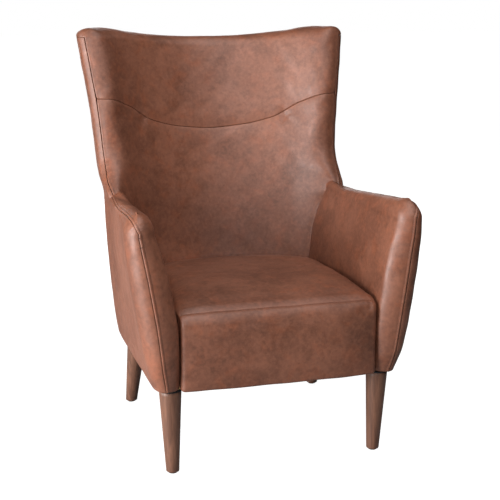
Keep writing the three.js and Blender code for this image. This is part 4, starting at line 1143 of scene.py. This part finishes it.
def build_back(material):
    """The inside back, the headrest with the rolled top, the outside back, and the outside
    panels of the wings."""
    seam_height, base = headrest_seam(back_list), roll_base(back_list)
    lower = half_front(crowded(0, 1, lower_back_steps, back_crowding),
                       mix(body_bottom, seam_height, inside_back_share),
                       seam_height - seam_gap / 2)
    upper = half_front(crowded_both(0, 1, headrest_steps), seam_height + seam_gap / 2, base)
    headrest_line = to_frame(whole(half_front(np.array([0.0]), seam_height, base))[0])
    shares = even(0, 1, seam_line_steps)
    wing_heights = mix(body_bottom + wing_seam_foot, roll_base(1), shares)
    wing_lines = on_both_sides(nose_point(wing_seam_share, wing_heights))
    kink = stack(headrest_kink_half, back_face(headrest_kink_half, headrest_kink_height),
                 headrest_kink_height)
    tucks = on_both_sides(tuck_path(arm_band_grid()))
    pulls = [(headrest_line, *headrest_pull)]
    puckers = [(headrest_line, *headrest_gathers, beside_middle)]
    sewing = {"seams": [headrest_line], "welts": wing_lines,
              "dimples": [(point, *kink_dimple) for point in on_both_sides(kink)]}

    inside = make_panel(
        "inside_back", [pad_out(whole(lower))], material, **sewing,
        pulls=pulls + [(line, *back_tuck_pull) for line in tucks],
        folds=puckers + [(line, *tuck_gathers, above_shoulder) for line in tucks])
    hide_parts("inside_back_cover", "back_foam")

    nose_list = np.concatenate([nose_front_list, nose_side_list[::-1]])[1:-1]
    outer_list = outer_share(back_list[::-1])
    ring = soften(np.concatenate([
        rolled_top(partial(inner_point, back_list), back_list),
        rolled_top(partial(nose_point, nose_list), 1),
        rolled_top(partial(outer_point, outer_list), back_list[::-1]),
    ], axis=1), np.cos(roll_list[..., 0]))
    upper, ring[:, :upper.shape[1]] = soften_top(upper, ring[:, :upper.shape[1]])
    headrest = make_panel(
        "headrest", [pad_out(whole(upper)), ring, mirrored(ring)[:, ::-1]], material, **sewing,
        pulls=pulls, folds=puckers)
    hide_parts("headrest_cover")

    rear_z = mix(body_bottom + hem_radius, roll_base(inner_share(rear_list)) - seam_gap,
                 crowded_both(0, 1, rear_steps)[:, None])
    rear = outer_point(rear_list, rear_z)
    corner_heights = mix(body_bottom, roll_base(corner_seam_spread), shares)
    corner_lines = on_both_sides(outer_point(corner_seam_share, corner_heights))
    top_lines = on_both_sides(outer_point(outer_share(back_list), base))
    rear_grid = with_hem(np.concatenate([rear, mirrored(rear[:, :-1])[:, ::-1]], axis=1))
    outside = make_panel("outside_back", [rear_grid], material, seams=corner_lines + top_lines)
    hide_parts("outside_back_cover")

    nose_list = nose_side_list[:0:-1]
    spread = np.append(np.ones(len(nose_list)), inner_share(wing_list))
    wing_z = mix(mix(body_bottom, headrest_seam(spread), wing_panel_share),
                 roll_base(spread) - seam_gap, crowded_both(0, 1, wing_steps)[:, None])
    wing = np.concatenate([nose_point(nose_list, wing_z[:, :len(nose_list)]),
                           outer_point(wing_list, wing_z[:, len(nose_list):])], axis=1)
    for (side, place, flip), *seams in zip(sides, wing_lines, corner_lines, top_lines):
        panel = make_panel(f"wing_{side}_outside", [place(wing)], material, flip, seams=seams)
        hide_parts(f"wing_outside_panel_{side}")


# Seat

def border_front(side, rise):
    """Depth of the front border: it swells forward between its edges."""
    low, high = seat_swell_shares
    swell = (1 - side**seat_swell_power) * np.sin(math.pi * mix(low, high, rise))
    return seat_front - seat_border_crown * swell


def seat_top(across, along):
    """The seat's top: a crown along its depth whose sides roll down to the arms."""
    side = np.sin(math.pi / 2 * (2 * across - 1))
    crown = seat_edge + (seat_crown - seat_edge) * seat_profile(along)
    corner_z = seat_front_seam - seat_corner_fall
    side_z = mix(corner_z, seat_edge - seat_side_drop, smooth_step(along, 0, seat_corner_share))
    rounding = np.maximum(0, 1 - np.abs(side) ** seat_edge_power) ** (1 / seat_edge_power)
    z = mix(side_z, crown, rounding)
    front = border_front(side, 1) + border_top_roll
    rear_middle = back_face(0, z) - seat_side_gap
    draw = seat_corner_draw * (1 - smooth_step(along, 0, seat_corner_share))
    x = side * (arm_inner(mix(front, rear_middle, along), z) - seat_side_gap - draw)
    rear = back_face(x, z) - seat_side_gap
    return stack(x, mix(front, rear, along), z)


def edge_strip(edge, ahead, places, axis):
    """A strip of grid that runs on from an edge, at chosen distances along a direction."""
    return np.stack([edge + place * np.array(ahead) for place in places], axis=axis)


def build_seat(material):
    """The seat's top with its skirts, and the border below its front."""
    across = even(0, 1, seat_across_steps)
    along = (even(0, 1, seat_along_steps) ** seat_crowding)[:, None]
    top = seat_top(across, along)
    top[0, :, 2] += seam_gap / 2
    down, back = (0, 0, -1), (0, 1, 0)
    falls = even(0, seat_skirt, skirt_steps)
    line = to_frame(top[0] - [0, 0, seam_gap / 2])
    sewing = {"seams": [line], "folds": [(line, *seat_gathers, beside_middle)]}
    seat = make_panel("seat_top", [
        pad_out(top), edge_strip(top[:, 0], down, falls[::-1], 1),
        edge_strip(top[:, -1], down, falls, 1), edge_strip(top[-1], down, falls, 0),
    ], material, **sewing)
    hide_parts("seat_cover", "seat_foam")

    side = np.sin(math.pi / 2 * even(-1, 1, seat_across_steps))
    rise = crowded(0, 1, border_steps, border_crowding)[:, None]
    seam_z = top[0, :, 2] - seam_gap
    z = mix(body_bottom + hem_radius, seam_z, rise)
    high = smooth_step(z, seat_front_seam - seat_corner_height, seat_front_seam)
    end = np.abs(top[0, -1, 0])
    half = mix(seat_half - border_side_gap, end, high)
    x = side * half
    into_corner = np.clip((np.abs(x) - (half - border_side_roll)) / border_side_roll, 0, 1)
    turned = border_side_roll * (1 - np.sqrt(1 - into_corner**2))
    into_top = np.clip(1 - (seam_z - z) / border_top_roll, 0, 1)
    rolled = border_top_roll * (1 - np.sqrt(1 - into_top**2))
    face = stack(x, border_front(side, rise) + turned * (1 - high) + rolled, z)
    runs = even(0, border_cheek, cheek_steps)
    face = np.concatenate([
        edge_strip(face[:, 0], back, runs[:0:-1], 1), pad_out(face),
        edge_strip(face[:, -1], back, runs[1:], 1),
    ], axis=1)
    border = make_panel("seat_border", [with_hem(face)], material, **sewing)
    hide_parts("seat_front_border", "seat_border_foam")


# Dust cloth

def build_dust_cloth(material):
    """The black cloth tacked under the frame: it follows the body's sides and rounded rear
    corners a little inside them, and sags by a bell shape between its edges."""
    low, high = (np.array(corner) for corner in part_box("dust_cloth"))
    front, rear = low[1] - front_line, high[1] - front_line
    depth = even(front, rear, dust_cloth_steps)[:, None]
    across = even(-1, 1, dust_cloth_steps)
    half = outer_half(depth, body_bottom) - dust_cloth_inset
    sag = ((1 - across**2) * np.sin(math.pi * (depth - front) / (rear - front))) ** 2
    points = stack(across * half, depth, high[2] - dust_cloth_sag * sag)
    cloth = join_grids("dust_cloth_sheet", [points[:, ::-1]])
    finish_panel(cloth, material, thickness=dust_cloth_thick)
    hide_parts("dust_cloth")


# Legs

def leg_profile(bottom, top):
    """Radii and heights of a leg from its foot's middle up: a rounded edge, a straight taper,
    and a chamfer to the top's middle."""
    turn = even(0, math.pi / 2, leg_edge_steps)
    share = even(0, 1, leg_shaft_steps)[1:]
    radii = [0, *(leg_bottom_radius - leg_edge * (1 - np.sin(turn))),
             *mix(leg_bottom_radius, leg_top_radius, share), leg_top_radius - leg_chamfer, 0]
    heights = [bottom, *(bottom + leg_edge * (1 - np.cos(turn))),
               *mix(bottom + leg_edge, top - leg_chamfer_height, share), top, top]
    return np.array(radii)[:, None], np.array(heights)[:, None]


def build_legs(material):
    """The four legs, turned round a line from the glide's middle to the plate's."""
    angle = even(0, 2 * math.pi, leg_sides)[:-1]
    for end in ("front", "rear"):
        for side in ("right", "left"):
            low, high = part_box(f"{end}_leg_{side}")
            radius, z = leg_profile(low[2], high[2])
            centre = mix(middle(f"{end}_glide_{side}"), middle(f"{end}_leg_plate_{side}"),
                         (z - low[2]) / (high[2] - low[2]))
            points = stack(centre[:, :1] + radius * np.cos(angle),
                           centre[:, 1:2] + radius * np.sin(angle), z)
            leg = make_mesh(f"{end}_{side}_turned_leg", points.reshape(-1, 3),
                            grid_faces(len(z), leg_sides, closed=True))
            merge_points(leg)
            dress(leg, material)
            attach(leg, root)
            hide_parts(f"{end}_leg_{side}")


# Materials

class Nodes:
    """A node tree to which nodes are added by short calls. Each call returns an output."""

    def __init__(self, tree):
        self.tree = tree

    def put(self, target, value):
        """Links a socket to an input, or sets the input to a constant."""
        if isinstance(value, bpy.types.NodeSocket):
            self.tree.links.new(value, target)
        else:
            target.default_value = value

    def add(self, kind, output, inputs=(), **settings):
        """A new node of a kind, with its settings and pairs of inputs and values."""
        node = self.tree.nodes.new("ShaderNode" + kind)
        for name, value in settings.items():
            setattr(node, name, value)
        for name, value in inputs:
            self.put(node.inputs[name], value)
        return node.outputs[output]

    def math(self, operation, first, second):
        return self.add("Math", "Value", [(0, first), (1, second)], operation=operation)

    def range(self, value, low, high, new_low=0.0, new_high=1.0):
        """A value's range made into another, with soft ends."""
        return self.add("MapRange", "Result", [
            ("Value", value), ("From Min", low), ("From Max", high), ("To Min", new_low),
            ("To Max", new_high),
        ], interpolation_type="SMOOTHSTEP")


class Finish(Nodes):
    """A material that is built up from its piece's own coordinates."""

    def __init__(self, name):
        self.material = bpy.data.materials.new(name)
        self.material.use_nodes = True
        super().__init__(self.material.node_tree)
        self.shader = self.tree.nodes["Principled BSDF"]
        self.place = self.add("TexCoord", "Object")

    def noise(self, scale, detail, roughness, distortion, place=None):
        return self.add("TexNoise", "Fac", [
            ("Vector", place or self.place), ("Scale", scale), ("Detail", detail),
            ("Roughness", roughness), ("Distortion", distortion),
        ])

    def stretched(self, scale):
        """The piece's coordinates, scaled along each axis."""
        return self.add("Mapping", "Vector", [("Vector", self.place), ("Scale", scale)])

    def blend(self, share, first, second):
        """A colour between two, given as constants or sockets."""
        return self.add("Mix", 2, [("Factor", share), (6, first), (7, second)],
                        data_type="RGBA")

    def bump(self, height, strength, distance, under=None):
        """A normal bent by a height, over another bump if one is given."""
        inputs = [("Height", height), ("Strength", strength), ("Distance", distance)]
        return self.add("Bump", "Normal", inputs + [("Normal", under)] * (under is not None))

    def set(self, **values):
        """Sets or links inputs of the shader, with _ for the spaces in their names."""
        for name, value in values.items():
            self.put(self.shader.inputs[name.replace("_", " ")], value)


def colour(red, green, blue):
    """A colour from its 0 to 255 screen values."""
    return tuple(((v / 255 + 0.055) / 1.055) ** 2.4 if v > 10 else v / 3294.6
                 for v in (red, green, blue)) + (1.0,)


def waxed_leather():
    """Brown leather with a waxed, pulled-up finish: broad soft patches, darker clouds and rust
    mottling within them, edges rubbed paler, a fine pebbled grain, and a satin gloss that
    follows the patches and the rust."""
    skin = Finish("waxed_leather")
    noise, shown = leather_patches
    patches = skin.range(skin.noise(*noise), *shown)
    tone = skin.blend(patches, *(colour(*tint) for tint in leather_base))
    masks = {}
    for name, (noise, shown, strength, tint) in leather_layers.items():
        masks[name] = skin.range(skin.noise(*noise), *shown)
        tone = skin.blend(skin.math("MULTIPLY", masks[name], strength), tone, colour(*tint))
    distance = skin.add("Attribute", "Fac", attribute_name="seam_distance")
    worn = skin.range(distance, 0.0, worn_reach, 1.0, 0.0)
    strength, tint = leather_worn
    tone = skin.blend(skin.math("MULTIPLY", worn, strength), tone, colour(*tint))
    cells = skin.add("TexVoronoi", "Distance", [("Vector", skin.place), ("Scale", pore_scale)],
                     feature="DISTANCE_TO_EDGE")
    pores = skin.math("MINIMUM", cells, pore_depth)
    normal = skin.bump(skin.noise(*crease_noise), *crease_bump)
    normal = skin.bump(pores, *pore_bump, normal)
    gloss = skin.range(skin.math("ADD", patches, masks["rust"]), *gloss_range,
                       *leather_roughness)
    skin.set(Base_Color=tone, Roughness=gloss, Normal=normal, Specular_IOR_Level=0.5)
    return skin.material


def walnut_legs():
    """Walnut-stained turned wood: fine upright grain over slow bands, satin lacquer."""
    wood = Finish("walnut_legs")
    upright = wood.stretched(wood_stretch)
    noise, shown, strength, tint = wood_grain
    fine = wood.range(wood.noise(*noise, upright), *shown)
    noise, shown = wood_bands
    bands = wood.range(wood.noise(*noise, upright), *shown)
    tone = wood.blend(bands, *(colour(*base) for base in wood_base))
    tone = wood.blend(wood.math("MULTIPLY", fine, strength), tone, colour(*tint))
    wood.set(Base_Color=tone, Roughness=wood.range(fine, 0, 1, *wood_roughness),
             Normal=wood.bump(fine, *wood_bump))
    return wood.material


def simple_finish(name, first, second, scale, roughness, metallic=0.0, bump=0.1,
                  stretch=(1, 1, 1)):
    """Two tones mixed by noise at the finish's own scale, with a matching bump."""
    finish = Finish(name)
    noise = finish.noise(scale, *plain_noise, finish.stretched(stretch))
    grain = finish.range(noise, *plain_range)
    finish.set(Base_Color=finish.blend(grain, colour(*first), colour(*second)),
               Roughness=finish.range(grain, 0, 1, roughness, roughness + plain_rougher),
               Normal=finish.bump(grain, bump, plain_bump_height), Metallic=metallic)
    return finish.material


def dress_nodes(finishes):
    """Gives every CAD node the first finish one of whose words its name holds, in each of its
    material slots, adding a slot where it has none.
    """
    for name, node in frame["nodes"].items():
        finish = next(finish for words, finish in finishes if any(w in name for w in words))
        if not node.material_slots:
            node.data.materials.append(finish)
        for slot in node.material_slots:
            slot.material = finish


# Stage: floor, lamps and camera

def build_floor():
    """A wide pale floor that glows only to the camera, so that it stays pale round the
    chair's shadow."""
    reach = floor_half
    mesh = bpy.data.meshes.new("floor")
    mesh.from_pydata([(-reach, -reach, 0), (reach, -reach, 0), (reach, reach, 0),
                      (-reach, reach, 0)], [], [(0, 1, 2, 3)])
    floor = bpy.data.objects.new("floor", mesh)
    bpy.context.scene.collection.objects.link(floor)
    paint = Finish("studio_floor")
    away = paint.add("VectorMath", "Value", [(0, paint.place)], operation="LENGTH")
    glow = paint.math("MULTIPLY", paint.add("LightPath", "Is Camera Ray"),
                      paint.range(away, *floor_glow))
    paint.set(Base_Color=(floor_grey, floor_grey, floor_grey, 1.0), Roughness=floor_roughness,
              Emission_Color=(1.0, 1.0, 1.0, 1.0), Emission_Strength=glow)
    mesh.materials.append(paint.material)


def build_surroundings():
    """White all round for the camera, and nearly dark as a light."""
    world = bpy.data.worlds.new("studio")
    bpy.context.scene.world = world
    world.use_nodes = True
    air = Nodes(world.node_tree)
    seen = air.math("MAXIMUM", *(air.add("LightPath", f"Is {kind} Ray")
                                 for kind in ("Camera", "Transmission")))
    background = air.tree.nodes["Background"]
    air.put(background.inputs["Color"], (1.0, 1.0, 1.0, 1.0))
    air.put(background.inputs["Strength"], air.range(seen, 0.0, 1.0, world_glow, 1.0))


def add_lamp(name, place, aim, size, power):
    """A rectangular lamp that faces what it aims at."""
    lamp = bpy.data.lights.new(name, "AREA")
    lamp.shape = "RECTANGLE"
    lamp.size, lamp.size_y = size
    lamp.energy = power
    holder = bpy.data.objects.new(name, lamp)
    bpy.context.scene.collection.objects.link(holder)
    back = np.array(place) - np.array(aim)
    yaw = math.atan2(back[0], -back[1])
    pitch = math.atan2(math.hypot(back[0], back[1]), back[2])
    holder.location = place
    holder.rotation_euler = (pitch, 0, yaw)


def add_camera():
    """The camera at the photograph's place and angle."""
    scene = bpy.context.scene
    view = bpy.data.cameras.new("camera")
    view.lens = camera_lens
    view.sensor_width = camera_sensor
    camera = bpy.data.objects.new("camera", view)
    scene.collection.objects.link(camera)
    camera.location = camera_place
    camera.rotation_euler = (math.radians(camera_pitch), 0, math.radians(camera_turn))
    scene.camera = camera
    scene.view_settings.view_transform = "Standard"


leather = waxed_leather()
walnut = walnut_legs()
thread = simple_finish("waxed_thread", (74, 44, 33), (96, 60, 46), 900.0, 0.6)
foam = simple_finish("cut_foam", (226, 214, 172), (206, 190, 146), 300.0, 0.9, bump=0.4)
timber = simple_finish("frame_timber", (196, 156, 106), (168, 126, 80), 60.0, 0.7,
                       stretch=(1, 1, 0.2))
steel = simple_finish("spring_steel", (150, 153, 156), (120, 123, 127), 200.0, 0.35,
                      metallic=1.0)
black_steel = simple_finish("black_plate", (34, 34, 35), (24, 24, 25), 240.0, 0.5,
                            metallic=0.4)
strap = simple_finish("woven_webbing", (62, 62, 64), (44, 44, 46), 500.0, 0.85, bump=0.4)
lining = simple_finish("black_lining", (28, 28, 29), (18, 18, 19), 700.0, 0.95, bump=0.3)
rubber = simple_finish("foot_glide", (44, 39, 36), (34, 30, 28), 400.0, 0.6)

build_floor()
build_surroundings()
for lamp in lamps:
    add_lamp(*lamp)
add_camera()
dress_nodes([
    (("foam",), foam),
    (("spring", "bolt"), steel),
    (("plate",), black_steel),
    (("webbing",), strap),
    (("dust_cloth",), lining),
    (("glide",), rubber),
    (("cover", "outside_panel", "seat_front_border"), leather),
    (("_leg_",), walnut),
    (("",), timber),
])
build_legs(walnut)
build_arms(leather, thread)
build_back(leather)
build_seat(leather)
build_dust_cloth(lining)
